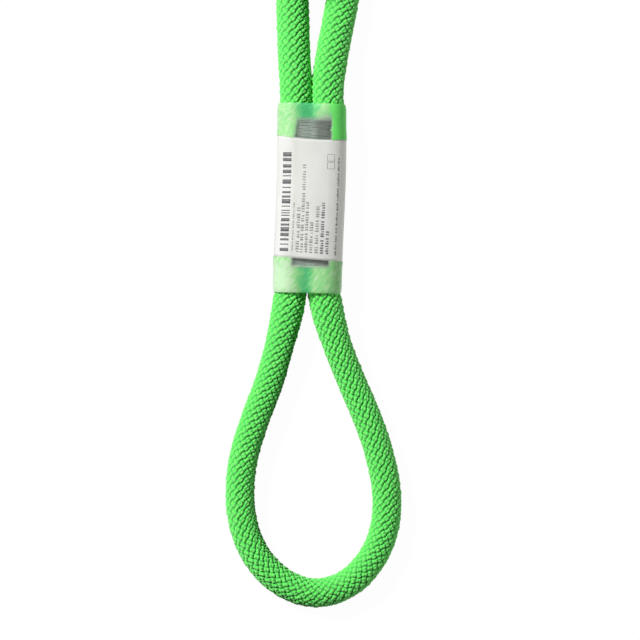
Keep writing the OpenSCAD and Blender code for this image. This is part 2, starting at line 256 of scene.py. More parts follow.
def tubes(lines: Array, radii: Array, sides: int, ref: tuple[float, float, float] = UP) -> Surface:
    """Closed round tubes along many lines at once.

    A ring is the line's point plus its radius times cos(a) across and sin(a) up, where across
    is the line's direction crossed with a reference direction.

    Args:
        lines: points of each line, as lines by points by 3.
        radii: the radius at each point, as lines by points.
        sides: how many sides a tube has.
        ref: the reference direction.

    Returns:
        The tubes with flat ends, and a map "along" of length along and turn around.
    """
    count, length = lines.shape[:2]
    along = unit(np.gradient(lines, axis=1))
    across = unit(np.cross(along, ref))
    upward = np.cross(across, along)
    turn = np.arange(sides) * 2 * np.pi / sides
    rings = lines[:, :, None] + radii[:, :, None, None] * (
        np.cos(turn)[:, None] * across[:, :, None] - np.sin(turn)[:, None] * upward[:, :, None]
    )
    ends = lines[:, [0, -1]]
    points = np.concatenate([rings.reshape(count, -1, 3), ends], axis=1)
    per_tube = length * sides + 2
    side = grid_faces(length, sides)
    start = fan(length * sides, 0, sides, turned=True)
    end = fan(length * sides + 1, (length - 1) * sides, sides)
    offsets = (np.arange(count) * per_tube)[:, None, None]
    far = arc_lengths(lines)
    r, c = np.divmod(np.arange((length - 1) * sides), sides)
    u = far[:, np.stack([r, r, r + 1, r + 1], -1)]
    v = np.broadcast_to(np.stack([c, c + 1, c + 1, c], -1) / sides, u.shape)
    caps = np.zeros((count * 2 * sides * 3, 2))
    return Surface(
        points.reshape(-1, 3),
        (side[None] + offsets).reshape(-1, 4),
        (np.concatenate([start, end])[None] + offsets).reshape(-1, 3),
        {"along": np.vstack([np.stack([u, v], -1).reshape(-1, 2), caps])},
    )


# ---- the layout ----


@dataclass(frozen=True)
class Layout:
    """Real sizes of the lanyard in millimetres. The tie-in sleeve's middle is at x 0, y 0."""

    rope_d: float = 9.5
    flat_share: float = 0.1  # share of it that is lost where the rope lies flat on the floor
    strand_gap: float = 0.8  # gap between the two strands in a sleeve
    main_sleeve_len: float = 61.0
    arm_sleeve_len: float = 55.0
    sleeve_wall: float = 0.5
    label_wall: float = 0.25
    label_clear: float = 0.05  # clearance inside the label, and between it and the sleeve
    stitch_proud: float = 0.4  # how far the stitching stands out of the rope
    main_stitch_len: float = 48.0
    main_stitch_y: float = 1.8  # its middle, from the sleeve's
    arm_stitch_len: float = 44.0
    eye_bend: float = 2.0  # bend of an arm's own eye, in diameters of the rope
    eye_bulge: float = 45.0  # length over which that eye widens
    fold_bend: float = 3.05  # bend of the hank's folds, in diameters of the rope
    run_half: float = 49.5  # half the length of the hank's runs
    layer_gap: float = 0.7  # gap between a rope and the rope that it lies on
    band_w: float = 16.0  # width of the tie
    band_wall: float = 1.5  # its thickness
    band_clear: float = 0.3  # its clearance round the bundle
    band_slide: float = 5.0  # how far it slides each way
    band_floor_gap: float = 0.3  # gap between it and the floor
    settle_run: float = 34.0  # length over which the rope comes down from the tie-in sleeve
    climb_run: float = 44.0  # length over which an arm rises off the floor at its far end
    short_x: float = -2.0  # the middle of the short arm's sleeve, from side to side
    short_run: float = 132.5  # length of the short arm between its two sleeves
    short_settle: float = 30.0  # length over which its eye comes down to the floor
    waist_up_sleeve: float = 25.0  # the hank's waist, from where the short arm enters its sleeve
    waist_clear: float = 2.6  # gap at the waist between the hank's runs and that sleeve
    waist_margin: float = 2.0  # straight run past the tie's travel
    long_shift: float = -8.5  # the middle of the long arm's sleeve, from the hank's
    long_entry_up: float = 7.5  # where the long arm enters its sleeve, from the waist
    sleeve_stack_gap: float = 2.2  # gap between the sleeves on the two arms
    crest_run: float = 16.0  # length over which the long arm's eye comes down onto the fold
    droop_past_fold: float = -1.0  # where it starts to hang down, from the outside of the fold
    droop: float = 7.0  # how far its tip hangs down
    tail_inset: float = 3.0  # how far inside its sleeve a cut end is

    @property
    def rope_r(self) -> float:
        """Radius of the rope."""
        return self.rope_d / 2

    @property
    def floor_z(self) -> float:
        """Height of the centre of a rope that lies on the floor, on its flattened side."""
        return self.rope_r - self.flat_share * self.rope_d

    @property
    def layer(self) -> float:
        """Height of one rope's centre above that of the rope it lies on."""
        return self.rope_d + self.layer_gap

    @property
    def strand_x(self) -> float:
        """Each strand's centre, from the middle of its sleeve."""
        return self.rope_r + self.strand_gap / 2

    @property
    def label_r(self) -> float:
        """Inner radius of the label round a strand."""
        return self.rope_r + self.stitch_proud + self.label_clear

    @property
    def sleeve_r(self) -> float:
        """Outer radius of a sleeve round a strand."""
        return self.label_r + self.label_wall + self.label_clear + self.sleeve_wall

    @property
    def half_main(self) -> float:
        """From the tie-in sleeve's middle to a lip."""
        return self.main_sleeve_len / 2

    @property
    def main_z(self) -> float:
        """Height of the strands in the tie-in sleeve, which rests on the floor."""
        return self.sleeve_r

    @property
    def band_rise(self) -> float:
        """Height of the lowest rope inside the band."""
        return self.band_floor_gap + self.band_wall + self.band_clear

    @property
    def short_z(self) -> float:
        """Height of the short arm's sleeve."""
        return self.band_rise + self.sleeve_r

    @property
    def short_entry_y(self) -> float:
        """Where the short arm enters its own sleeve."""
        return self.half_main + self.short_run

    @property
    def short_lip_y(self) -> float:
        """Where the short arm's eye leaves its sleeve."""
        return self.short_entry_y + self.arm_sleeve_len

    @property
    def hank_x(self) -> float:
        """The middle of the hank, from side to side."""
        return self.short_x

    @property
    def hank_y(self) -> float:
        """The waist of the hank, round the short arm's sleeve."""
        return self.short_entry_y + self.waist_up_sleeve

    @property
    def fold_r(self) -> float:
        """Radius of the hank's folds."""
        return self.fold_bend * self.rope_d

    @property
    def waist_straight(self) -> float:
        """Half the length of the straight stretch at the waist, which the band slides on."""
        return self.band_w / 2 + self.band_slide + self.waist_margin

    @property
    def waist_x(self) -> float:
        """A run's centre at the waist, from the middle of the hank."""
        return self.strand_x + self.sleeve_r + self.waist_clear + self.rope_r

    @property
    def waist_z(self) -> float:
        """Height of the lower runs at the waist."""
        return self.band_rise + self.rope_r

    @property
    def fold_z(self) -> float:
        """Height of the lower folds, which lie on the ropes on the floor."""
        return self.floor_z + self.layer

    @property
    def crest_z(self) -> float:
        """Height of the upper fold, and of the long arm's eye where it crosses the hank."""
        return self.fold_z + self.layer

    @property
    def long_x(self) -> float:
        """The middle of the long arm's sleeve, from side to side."""
        return self.hank_x + self.long_shift

    @property
    def long_z(self) -> float:
        """Height of the long arm's sleeve, on top of the short arm's."""
        return self.short_z + 2 * self.sleeve_r + self.sleeve_stack_gap

    @property
    def long_entry_y(self) -> float:
        """Where the long arm enters its own sleeve, at the sleeve's upper end."""
        return self.hank_y + self.long_entry_up

    @property
    def entry_run(self) -> float:
        """Length over which the rope leaves its fold for the long arm's sleeve."""
        return self.run_half - self.long_entry_up

    @property
    def droop_from(self) -> float:
        """How far past its sleeve the long arm's eye starts to hang down, clear of the fold."""
        return self.long_lip_y - (self.hank_y - self.run_half - self.fold_r) + self.droop_past_fold

    @property
    def long_lip_y(self) -> float:
        """Where the long arm's eye leaves its sleeve, at the sleeve's lower end."""
        return self.long_entry_y - self.arm_sleeve_len

    @property
    def eye_r(self) -> float:
        """Bend of an arm's own eye."""
        return self.eye_bend * self.rope_d


@dataclass(frozen=True)
class Termination:
    """A sewn termination: two strands side by side under one sleeve.

    Its own numbers say how far past a lip an effect is full, and over what length it eases off.
    """

    name: str  # the arm or eye that it belongs to
    x: float  # the middle, from side to side
    y: float  # the middle along the sleeve
    z: float  # height of the strands
    length: float  # length of the sleeve
    bow: float = 0.0  # how far its middle bows to the right

    PLATEAU = 3.0
    EASE = 17.0
    REACH_X = 9.0
    REACH_Z = 5.0
    OWN_HEIGHT = 1
    WIDE_PAST = 35.0
    WIDE_EASE = 60.0
    SWELL_FROM = 2.0
    SWELL_EASE = 18.0
    TOUCH_BEFORE = 1
    TOUCH_RISE = 3
    TOUCH_PAST = 8.0
    TOUCH_EASE = 4.0
    BOW_MIDDLE = 8.0
    BOW_HALF = 32.0

    def pressed(self, points: Array) -> Array:
        """How far the sleeve presses the rope at these points into an oval, from 0 to 1."""
        past = np.abs(points[:, 1] - self.y) - self.length / 2
        near = (np.abs(points[:, 0] - self.x) < self.REACH_X) & (
            np.abs(points[:, 2] - self.z) < self.REACH_Z
        )
        return np.where(near, 1.0 - smooth((past - self.PLATEAU) / self.EASE), 0.0)

    def swollen(self, points: Array) -> Array:
        """How far the eye's strands swell where they leave the sleeve, from 0 to 1."""
        past = self.y - self.length / 2 - points[:, 1]
        near = points[:, 2] < self.z + self.OWN_HEIGHT
        fall = 1 - smooth((past - self.SWELL_FROM) / self.SWELL_EASE)
        return np.where(near, smooth(past / self.SWELL_FROM) * fall, 0.0)

    def spread(self, points: Array) -> Array:
        """How wide the arms above the sleeve still lie, from 1 at the sleeve to 0."""
        past = points[:, 1] - self.y - self.length / 2
        near = (past > 0) & (points[:, 2] < self.z + self.OWN_HEIGHT)
        return np.where(near, 1.0 - smooth((past - self.WIDE_PAST) / self.WIDE_EASE), 0.0)

    def touching(self, points: Array) -> Array:
        """How far the arms are held together just above the sleeve, from 0 to 1."""
        past = points[:, 1] - self.y - self.length / 2
        fall = 1 - smooth((past - self.TOUCH_PAST) / self.TOUCH_EASE)
        held = smooth((past + self.TOUCH_BEFORE) / self.TOUCH_RISE) * fall
        return np.where(points[:, 2] < self.z + self.OWN_HEIGHT, held, 0.0)

    def bowed(self, y: Array) -> Array:
        """How far the sleeve bows to the right at places y: the bow times a squared cosine."""
        share = np.clip((y - self.y - self.BOW_MIDDLE) / self.BOW_HALF, -1, 1)
        return self.bow * np.cos(share * np.pi / 2) ** 2


class RopeRoute:
    """Where the rope lies: its points from the short arm's cut end to the long arm's.

    The listed points are measured from a lip of the tie-in sleeve: how far outside its
    strand the rope lies, and how far from the lip.
    which are read at the numbers of places that the counts say.
    """

    TIE_IN_LEFT = (
        (0.9, 7), (3, 15.5), (6.3, 28.5), (10.8, 41.5), (14.3, 54.5), (15, 64.5),
        (13.6, 75.5), (8.3, 86.5), (-0.2, 94),
    )
    TIE_IN_RIGHT = (
        (1.6, 7), (4.4, 15), (9.8, 28), (15.5, 40.5), (20, 53.5), (22.2, 66), (21.5, 76),
        (17.3, 86), (9.3, 94), (-0.2, 96.8),
    )
    SHORT_ARM = (
        (0.3, 7.5), (0.9, 16.5), (1.5, 26.5), (1.9, 36.5), (2, 49.5), (2, 65.5), (2, 81.5),
        (2, 97.5), (2, 113.5),
    )
    LONG_ARM = (
        (0.1, 7.5), (1.3, 17.5), (3, 27.5), (4.8, 38.5), (6.6, 51.5), (8.1, 65.5),
        (9.3, 80.5), (10.2, 96.5), (10.9, 112.5), (11.3, 127.5),
    )
    INNER_SHARE = 0.6
    FOLD_COUNT = 7
    ENTRY_COUNT = 5
    BULGE_COUNT = 5
    EYE_FOLD_COUNT = 8

    def __init__(self, size: Layout) -> None:
        """Keeps the sizes that the route is worked out from."""
        self.size = size

    def main_strand(self, side: Side, end: Way) -> Array:
        """A strand in the tie-in sleeve, from its middle to the lip at one end."""
        z = self.size
        return np.array([[side * z.strand_x, end * t * z.half_main, z.main_z] for t in (0, 0.5, 1)])

    def free(self, chosen: tuple, side: Side, end: Way) -> Array:
        """Listed points in place, coming down to the floor from the sleeve's lip."""
        z = self.size
        out, away = np.array(chosen, float).T
        lift = (z.main_z - z.floor_z) * (1 - smooth(away / z.settle_run))
        return np.stack(
            [side * (z.strand_x + out), end * (z.half_main + away), z.floor_z + lift], -1
        )

    def climbed(self, points: Array, top_y: float, top_z: float) -> Array:
        """The same points, rising off the floor to height top_z at top_y."""
        z = self.size
        risen = points.copy()
        risen[:, 2] += (top_z - z.floor_z) * smooth((points[:, 1] - top_y) / z.climb_run + 1)
        return risen

    def tie_in_eye(self) -> Array:
        """The tie-in eye, down its left side and up its right side."""
        return np.vstack([
            self.main_strand(Side.LEFT, Way.DOWN),
            self.free(self.TIE_IN_LEFT, Side.LEFT, Way.DOWN),
            self.free(self.TIE_IN_RIGHT, Side.RIGHT, Way.DOWN)[::-1],
            self.main_strand(Side.RIGHT, Way.DOWN)[::-1],
        ])

    def short_arm(self) -> Array:
        """The short arm, up to the middle of its own sleeve."""
        z = self.size
        inside = [
            [z.short_x - z.strand_x, z.short_entry_y + t * z.arm_sleeve_len / 2, z.short_z]
            for t in (0, 0.5, 1)
        ]
        free = self.free(self.SHORT_ARM, Side.LEFT, Way.UP)
        arm = self.climbed(free, z.short_entry_y, z.short_z)
        return np.vstack([self.main_strand(Side.LEFT, Way.UP), arm, inside])

    def long_arm(self) -> Array:
        """The long arm, up to the waist of the hank."""
        z = self.size
        low_y = z.hank_y - z.waist_straight
        waist = [[z.hank_x + z.waist_x, y, z.waist_z] for y in (low_y, z.hank_y)]
        arm = self.climbed(self.free(self.LONG_ARM, Side.RIGHT, Way.UP), low_y, z.waist_z)
        return np.vstack([self.main_strand(Side.RIGHT, Way.UP), arm, waist])

    def run(self, t: Array, side: Side, way: Way, heights: tuple) -> Array:
        """One run of the hank, drawn in at the waist.

        With w the smooth step of |t| from the end of the straight stretch to the fold, x goes
        from waist_x to fold_r and z from the waist's height to the fold's as w goes 0 to 1.

        Args:
            t: places along the run, from -1 at one fold to 1 at the next.
            side: the side of the hank that it is on.
            way: the way that the rope goes there.
            heights: the heights at the fold it leaves, at the waist and at the fold it meets.

        Returns:
            The points of the run.
        """
        z = self.size
        left_z, waist_z, met_z = heights
        w = smooth((np.abs(t) * z.run_half - z.waist_straight) / (z.run_half - z.waist_straight))
        return np.stack([
            z.hank_x + side * (z.waist_x + (z.fold_r - z.waist_x) * w),
            z.hank_y + way * t * z.run_half,
            waist_z + (np.where(t < 0, left_z, met_z) - waist_z) * w,
        ], -1)

    def fold(self, end: Way, height: float) -> Array:
        """One fold of the hank: half a circle, anticlockwise, at the top or the bottom."""
        z = self.size
        a = np.pi * np.arange(1, self.FOLD_COUNT) / self.FOLD_COUNT
        return np.stack([
            z.hank_x + end * z.fold_r * np.cos(a),
            z.hank_y + end * (z.run_half + z.fold_r * np.sin(a)),
            np.full(len(a), height),
        ], -1)

    def entry(self) -> Array:
        """The rope's way from the last fold into the long arm's sleeve, to its middle."""
        z = self.size
        t = np.arange(self.ENTRY_COUNT + 1) / self.ENTRY_COUNT
        start_x, end_x = z.hank_x - z.fold_r, z.long_x - z.strand_x
        way_in = np.stack([
            start_x + (end_x - start_x) * smooth(t),
            z.hank_y + z.run_half - t * z.entry_run,
            z.crest_z + (z.long_z - z.crest_z) * smooth(t),
        ], -1)
        inside = [
            [end_x, z.long_entry_y - share * z.arm_sleeve_len, z.long_z] for share in (0.25, 0.5)
        ]
        return np.vstack([way_in, inside])

    def hank(self) -> Array:
        """One and a half loops, each lying on the one before, from the right of the waist."""
        z = self.size
        waist_t = z.waist_straight / z.run_half
        inner_t, widening_t = self.INNER_SHARE * waist_t, (1 + waist_t) / 2
        first = np.array([0, inner_t, waist_t, widening_t, 1])
        whole = np.concatenate([-first[:0:-1], first[1:]])
        upper_waist = z.waist_z + z.layer
        return np.vstack([
            self.run(first, Side.RIGHT, Way.UP, (z.waist_z, z.waist_z, z.fold_z)),
            self.fold(Way.UP, z.fold_z),
            self.run(whole, Side.LEFT, Way.DOWN, (z.fold_z, z.waist_z, z.fold_z)),
            self.fold(Way.DOWN, z.fold_z),
            self.run(whole, Side.RIGHT, Way.UP, (z.fold_z, upper_waist, z.crest_z)),
            self.fold(Way.UP, z.crest_z),
            self.entry(),
        ])

    def eye_outline(self) -> Array:
        """An arm's own eye in its sleeve's frame: distance past the lip, and distance across."""
        z = self.size
        length = z.arm_sleeve_len
        t = np.arange(1, self.BULGE_COUNT + 1) / self.BULGE_COUNT
        widening = np.stack([t * z.eye_bulge, z.strand_x + (z.eye_r - z.strand_x) * smooth(t)], -1)
        a = np.pi * np.arange(1, self.EYE_FOLD_COUNT) / self.EYE_FOLD_COUNT
        turn = np.stack([z.eye_bulge + z.eye_r * np.sin(a), -z.eye_r * np.cos(a)], -1)
        return np.vstack([
            [[-length / 2, -z.strand_x], [-length / 4, -z.strand_x], [0, -z.strand_x]],
            widening * [1, -1],
            turn,
            widening[::-1],
            [[0, z.strand_x], [-length / 2, z.strand_x], [z.tail_inset - length, z.strand_x]],
        ])

    def short_arm_eye(self) -> Array:
        """The short arm's eye, which comes down to the floor past its sleeve."""
        z = self.size
        past, across = self.eye_outline().T
        down = (z.short_z - z.floor_z) * smooth(past / z.short_settle)
        return np.stack([z.short_x + across, z.short_lip_y + past, z.short_z - down], -1)

    def long_arm_eye(self) -> Array:
        """The long arm's eye, over the hank's lower fold and hanging down past it."""
        z = self.size
        past, across = self.eye_outline().T
        up = (z.crest_z - z.long_z) * smooth(past / z.crest_run)
        tip = z.eye_bulge + z.eye_r
        down = z.droop * smooth((past - z.droop_from) / (tip - z.droop_from))
        return np.stack([z.long_x + across, z.long_lip_y - past, z.long_z + up - down], -1)


@dataclass(frozen=True)
class Stretch:
    """One stretch of the rope, between lengths start and end of the whole."""

    name: str  # what the stretch is called
    start: float  # where it starts along the rope
    end: float  # where it ends


class Rope:
    """The whole rope: its centreline with frame and cross-section along it.

    The frame's sideways direction is the rope's direction crossed with up. The section is
    round, pressed into an oval by the sleeves, and flat underneath where it lies on the floor.
    Beside the tie-in sleeve the strands swell, spread and touch by the amounts given here in
    millimetres, and CREST is how far the yarns' crests stand out of the section.
    """

    STEP = 0.5
    EASED_OVER = 9
    PRESSED_HALF_W = 5.2
    PRESSED_HALF_H = 4.5
    PRESSED_OUT = 0.05
    SPREAD_HALF_W = 5.36
    SWOLLEN_OUT = 0.3
    TOUCH_IN = 0.22
    SWOLLEN_W = 0.18
    FLOOR_GAP = 0.05
    CREST = 0.17

    def __init__(self, route: RopeRoute, terminations: list[Termination]) -> None:
        """Joins the route's stretches end to end and measures the line through them.

        Args:
            route: where the rope lies.
            terminations: the sleeves that press it, the tie-in sleeve first.
        """
        legs = [
            ("short_arm_eye", route.short_arm_eye()[::-1]),
            ("short_arm", route.short_arm()[::-1]),
            ("tie_in_eye", route.tie_in_eye()),
            ("long_arm", route.long_arm()),
            ("long_arm_hank", route.hank()),
            ("long_arm_eye", route.long_arm_eye()),
        ]
        points = np.vstack([legs[0][1]] + [leg[1:] for _, leg in legs[1:]])
        ends = np.cumsum([len(legs[0][1]) - 1] + [len(leg) - 1 for _, leg in legs[1:]])
        line, lengths = spline_through(points, self.STEP)
        cuts = [0.0] + [float(lengths[i]) for i in ends]
        self.stretches = [Stretch(n, a, b) for (n, _), a, b in zip(legs, cuts, cuts[1:])]
        self.length = cuts[-1]
        self.at = np.linspace(0.0, self.length, int(self.length / self.STEP) + 1)
        self.line = self.eased(resampled(self.at, arc_lengths(line), line))
        self.along = unit(np.gradient(self.line, axis=0))
        self.across = unit(np.cross(self.along, UP))
        self.upward = np.cross(self.across, self.along)
        pressed = np.sum([t.pressed(self.line) for t in terminations], axis=0)
        for t in terminations:
            side = np.sign(self.line[:, 0] - t.x)
            self.line[:, 0] += side * self.PRESSED_OUT * t.pressed(self.line)
            self.line[:, 0] += t.bowed(self.line[:, 1]) * t.pressed(self.line)
        r = route.size.rope_r
        wide = terminations[0].spread(self.line) * (self.SPREAD_HALF_W - r)
        swollen = terminations[0].swollen(self.line)
        outward = self.SWOLLEN_OUT * swollen - self.TOUCH_IN * terminations[0].touching(self.line)
        self.line[:, 0] += np.sign(self.line[:, 0]) * outward
        self.half_w = r + np.maximum((self.PRESSED_HALF_W - r) * pressed, wide)
        self.half_w += self.SWOLLEN_W * swollen
        self.top = r + (self.PRESSED_HALF_H - r) * pressed
        self.crest_share = 1 + self.CREST / r
        floor = (self.line[:, 2] - self.FLOOR_GAP) / self.crest_share
        self.bottom = np.minimum(self.top, floor)

    def eased(self, line: Array) -> Array:
        """The line with each sample at the mean of its neighbours, and its ends kept."""
        half = self.EASED_OVER
        bell = np.hanning(2 * half + 3)[1:-1]
        bell /= bell.sum()
        padded = np.vstack([
            2 * line[0] - line[half:0:-1], line, 2 * line[-1] - line[-2 : -half - 2 : -1]
        ])
        return np.stack([np.convolve(padded[:, i], bell, "valid") for i in range(3)], -1)

    def read(self, values: Array, s: Array) -> Array:
        """Values along the rope, read at lengths s."""
        if values.ndim == 1:
            return np.interp(s, self.at, values)
        return resampled(s, self.at, values)

    def place(self, s: Array, turn: Array, share: Array | float) -> Array:
        """Points in or on the rope.

        A point is the centre plus share times half_w cos(turn) across and top sin(turn) up,
        with the lower half's height in place of top where sin(turn) is below 0.

        Args:
            s: lengths along the rope.
            turn: angles round it, in radians, from its side upwards.
            share: distances from the centre, as shares of the section.

        Returns:
            The points.
        """
        rise = np.sin(turn)
        high = np.where(rise > 0, self.read(self.top, s), self.read(self.bottom, s))
        out = (share * self.read(self.half_w, s) * np.cos(turn))[..., None]
        up = (share * high * rise)[..., None]
        return self.read(self.line, s) + out * self.read(self.across, s) + up * self.read(
            self.upward, s
        )

    def path(self, start: float, end: float, step: float) -> Array:
        """The centreline between two lengths, with a point about every step."""
        s = np.linspace(start, end, max(int((end - start) / step), 2) + 1)
        return self.read(self.line, s)


# ---- finishes ----


class Shader:
    """A material's node tree, with short ways to add and link nodes."""

    COLOUR_MIX_INPUTS = (0, 6, 7)
    COLOUR_MIX_RESULT = 2

    def __init__(self, name: str) -> None:
        """Starts a material whose only shader is a Principled BSDF."""
        self.material = bpy.data.materials.new(name)
        self.material.use_nodes = True
        self.tree = self.material.node_tree
        self.shader = self.tree.nodes["Principled BSDF"]

    def add(self, kind: str, **settings: object) -> bpy.types.Node:
        """A new node of that kind, with these properties and input values."""
        node = self.tree.nodes.new(kind)
        for key, value in settings.items():
            if hasattr(node, key):
                setattr(node, key, value)
            else:
                node.inputs[key.replace("_", " ")].default_value = value
        return node

    def link(self, a: Socket, b: Socket) -> None:
        """Links an output to an input."""
        self.tree.links.new(a, b)

    def set(self, **values: object) -> None:
        """Sets plain values on the shader, by socket name with underscores for spaces."""
        for key, value in values.items():
            self.shader.inputs[key.replace("_", " ")].default_value = value

    def feed(self, socket: Socket, value: object) -> None:
        """Gives an input a plain value, or a link if the value is an output."""
        if isinstance(value, Socket):
            self.link(value, socket)
        else:
            socket.default_value = value

    def math(self, operation: str, *values: object) -> Socket:
        """The result of a Math node on numbers or outputs."""
        node = self.add("ShaderNodeMath", operation=operation)
        for socket, value in zip(node.inputs, values):
            self.feed(socket, value)
        return node.outputs[0]

    def mix(self, factor: object, a: object, b: object, blend: Blend = Blend.MIX) -> Socket:
        """The result of a colour Mix node, where factor, a and b are values or outputs."""
        node = self.add("ShaderNodeMix", data_type="RGBA", blend_type=blend.value)
        for place, value in zip(self.COLOUR_MIX_INPUTS, (factor, a, b)):
            self.feed(node.inputs[place], value)
        return node.outputs[self.COLOUR_MIX_RESULT]

    def ramp(self, factor: Socket, stops: list[tuple]) -> Socket:
        """The colour at a factor on a ramp of (place, colour) stops."""
        node = self.add("ShaderNodeValToRGB")
        elements = node.color_ramp.elements
        while len(elements) < len(stops):
            elements.new(0.5)
        for element, (place, colour) in zip(elements, stops):
            element.position = place
            element.color = colour
        self.link(factor, node.inputs[0])
        return node.outputs[0]

    def noise(self, vector: Socket, scale: float, detail: float = 2.0) -> Socket:
        """The value of a Noise texture at a vector."""
        node = self.add("ShaderNodeTexNoise", Scale=scale, Detail=detail)
        self.link(vector, node.inputs["Vector"])
        return node.outputs[0]

    def scaled(self, vector: Socket, scale: tuple, turn: float = 0.0) -> Socket:
        """A vector turned about Z and then scaled along each axis."""
        turned = self.add("ShaderNodeVectorRotate", rotation_type="Z_AXIS")
        turned.inputs["Angle"].default_value = turn
        self.link(vector, turned.inputs["Vector"])
        node = self.add("ShaderNodeMapping")
        node.inputs["Scale"].default_value = scale
        self.link(turned.outputs[0], node.inputs["Vector"])
        return node.outputs[0]

    def uv(self, name: str) -> Socket:
        """A piece's own UV map."""
        return self.add("ShaderNodeUVMap", uv_map=name).outputs[0]

    def value(self, name: str) -> Socket:
        """A piece's own attribute, as a number."""
        return self.add("ShaderNodeAttribute", attribute_name=name).outputs["Fac"]

    def place(self) -> Socket:
        """Object coordinates."""
        return self.add("ShaderNodeTexCoord").outputs["Object"]

    def bump(self, height: Socket, distance: float, strength: float = 1.0) -> None:
        """Bumps the surface by a height between 0 and 1, distance metres high."""
        node = self.add("ShaderNodeBump", Strength=strength, Distance=distance)
        self.link(height, node.inputs["Height"])
        self.link(node.outputs[0], self.shader.inputs["Normal"])

    def colour(self, socket: Socket) -> None:
        """Feeds the shader's base colour."""
        self.link(socket, self.shader.inputs["Base Color"])


@dataclass(frozen=True)
class BraidFinish:
    """Bright dyed polyamide yarns, with a pale painted highlight on their crests and painted shade
    where they dive.
    """

    # crest is a pale painted highlight; rise, flank and pit are painted shade, darkest in the pits.
    crest: Colour = (0.15, 0.96, 0.1, 1)
    rise: Colour = (0.02, 0.82, 0.05, 1)
    flank: Colour = (0.0, 0.58, 0.025, 1)
    pit: Colour = (0.0, 0.28, 0.012, 1)
    sheen: Colour = (0.95, 1.0, 0.85, 1)
    roughness: float = 0.6

    def material(self) -> Material:
        """Colour and sheen by height on the yarn, streaked along its filaments; the colour by
        height is painted light, pale on the crests and shaded down into the pits.
        """
        s = Shader("braided_polyamide")
        height = s.value("crest")
        # Painted light by height: shade in the pits and a pale highlight on the crests.
        base = s.ramp(
            height, [(0.02, self.pit), (0.38, self.flank), (0.6, self.rise), (0.84, self.crest)]
        )
        streak = s.noise(s.scaled(s.uv("yarn"), (0.6, 9.0, 1.0), 0.35), 1.0, 3.0)
        shade = s.ramp(streak, [(0.3, (0.8, 0.86, 0.8, 1)), (0.7, (1.0, 1.0, 1.0, 1))])
        s.colour(s.mix(1.0, base, shade, Blend.MULTIPLY))
        s.bump(streak, 0.00006, 0.6)
        s.set(Roughness=self.roughness, Specular_IOR_Level=0.08)
        s.set(Sheen_Weight=0.5, Sheen_Roughness=0.8, Sheen_Tint=self.sheen)
        return s.material


@dataclass(frozen=True)
class CoreFinish:
    """Undyed twisted yarns of the core."""

    light: Colour = (0.80, 0.79, 0.72, 1)
    dark: Colour = (0.52, 0.50, 0.43, 1)

    def material(self) -> Material:
        """Slanted plies along each strand."""
        s = Shader("twisted_core_yarn")
        ply = s.noise(s.scaled(s.uv("along"), (0.9, 14.0, 1.0), 0.5), 1.0, 2.0)
        s.colour(s.ramp(ply, [(0.35, self.dark), (0.65, self.light)]))
        s.bump(ply, 0.0001)
        s.set(Roughness=0.75)
        return s.material


@dataclass(frozen=True)
class ThreadFinish:
    """Sewing thread with a twist."""

    name: str = "grey_sewing_thread"
    light: Colour = (0.72, 0.86, 0.72, 1)
    dark: Colour = (0.03, 0.045, 0.038, 1)

    def material(self) -> Material:
        """Two plies wound round each other, as slanted bands along the thread, darkened by a
        painted shade that the piece carries.
        """
        s = Shader(self.name)
        split = s.add("ShaderNodeSeparateXYZ")
        s.link(s.uv("along"), split.inputs[0])
        u, v = split.outputs[0], split.outputs[1]
        lean = s.math("ADD", s.math("MULTIPLY", u, 9.0), s.math("MULTIPLY", v, 12.566))
        ply = s.math("SINE", lean)
        height = s.math("MULTIPLY_ADD", ply, 0.5, 0.5)
        drift = s.noise(s.place(), 350.0)
        mixed = s.mix(s.math("MULTIPLY", drift, 0.9), self.dark, self.light)
        twisted = s.mix(s.math("MULTIPLY", height, 0.45), mixed, self.light)
        # Painted shade: the stitched block darkens towards its right side, and a little everywhere
        # but its upper rows.
        shaded = s.mix(s.math("MULTIPLY", s.value("painted_thread_shade"), 0.9), twisted, self.dark)
        s.colour(shaded)
        s.bump(height, 0.00005)
        s.set(Roughness=0.7, Specular_IOR_Level=0.15)
        return s.material


@dataclass(frozen=True)
class FilmFinish:
    """Printed label film: satin, warm white, paled by painted light in places."""

    paper: Colour = (0.72, 0.72, 0.70, 1)
    shade: Colour = (0.67, 0.67, 0.64, 1)
    # pale is the colour of the painted light.
    pale: Colour = (0.95, 0.95, 0.88, 1)

    def material(self) -> Material:
        """Faint clouding and a fine grain, and painted light that pales the film around and left of
        its middle and at its right edge.
        """
        s = Shader("label_film")
        cloud = s.noise(s.place(), 90.0, 3.0)
        plain = s.ramp(cloud, [(0.35, self.shade), (0.6, self.paper)])
        s.colour(s.mix(s.value("pale"), plain, self.pale))
        s.bump(s.noise(s.place(), 2500.0), 0.00002, 0.4)
        s.set(Roughness=0.6, Specular_IOR_Level=0.25)
        return s.material


@dataclass(frozen=True)
class InkFinish:
    """Printing ink on the label."""

    name: str
    ink: Colour

    def material(self) -> Material:
        """Ink with a slightly uneven strength."""
        s = Shader(self.name)
        uneven = s.noise(s.place(), 900.0)
        pale = tuple(min(1.0, c * 1.5 + 0.04) for c in self.ink[:3]) + (1.0,)
        s.colour(s.mix(s.math("MULTIPLY", uneven, 0.6), self.ink, pale))
        s.set(Roughness=0.5)
        return s.material


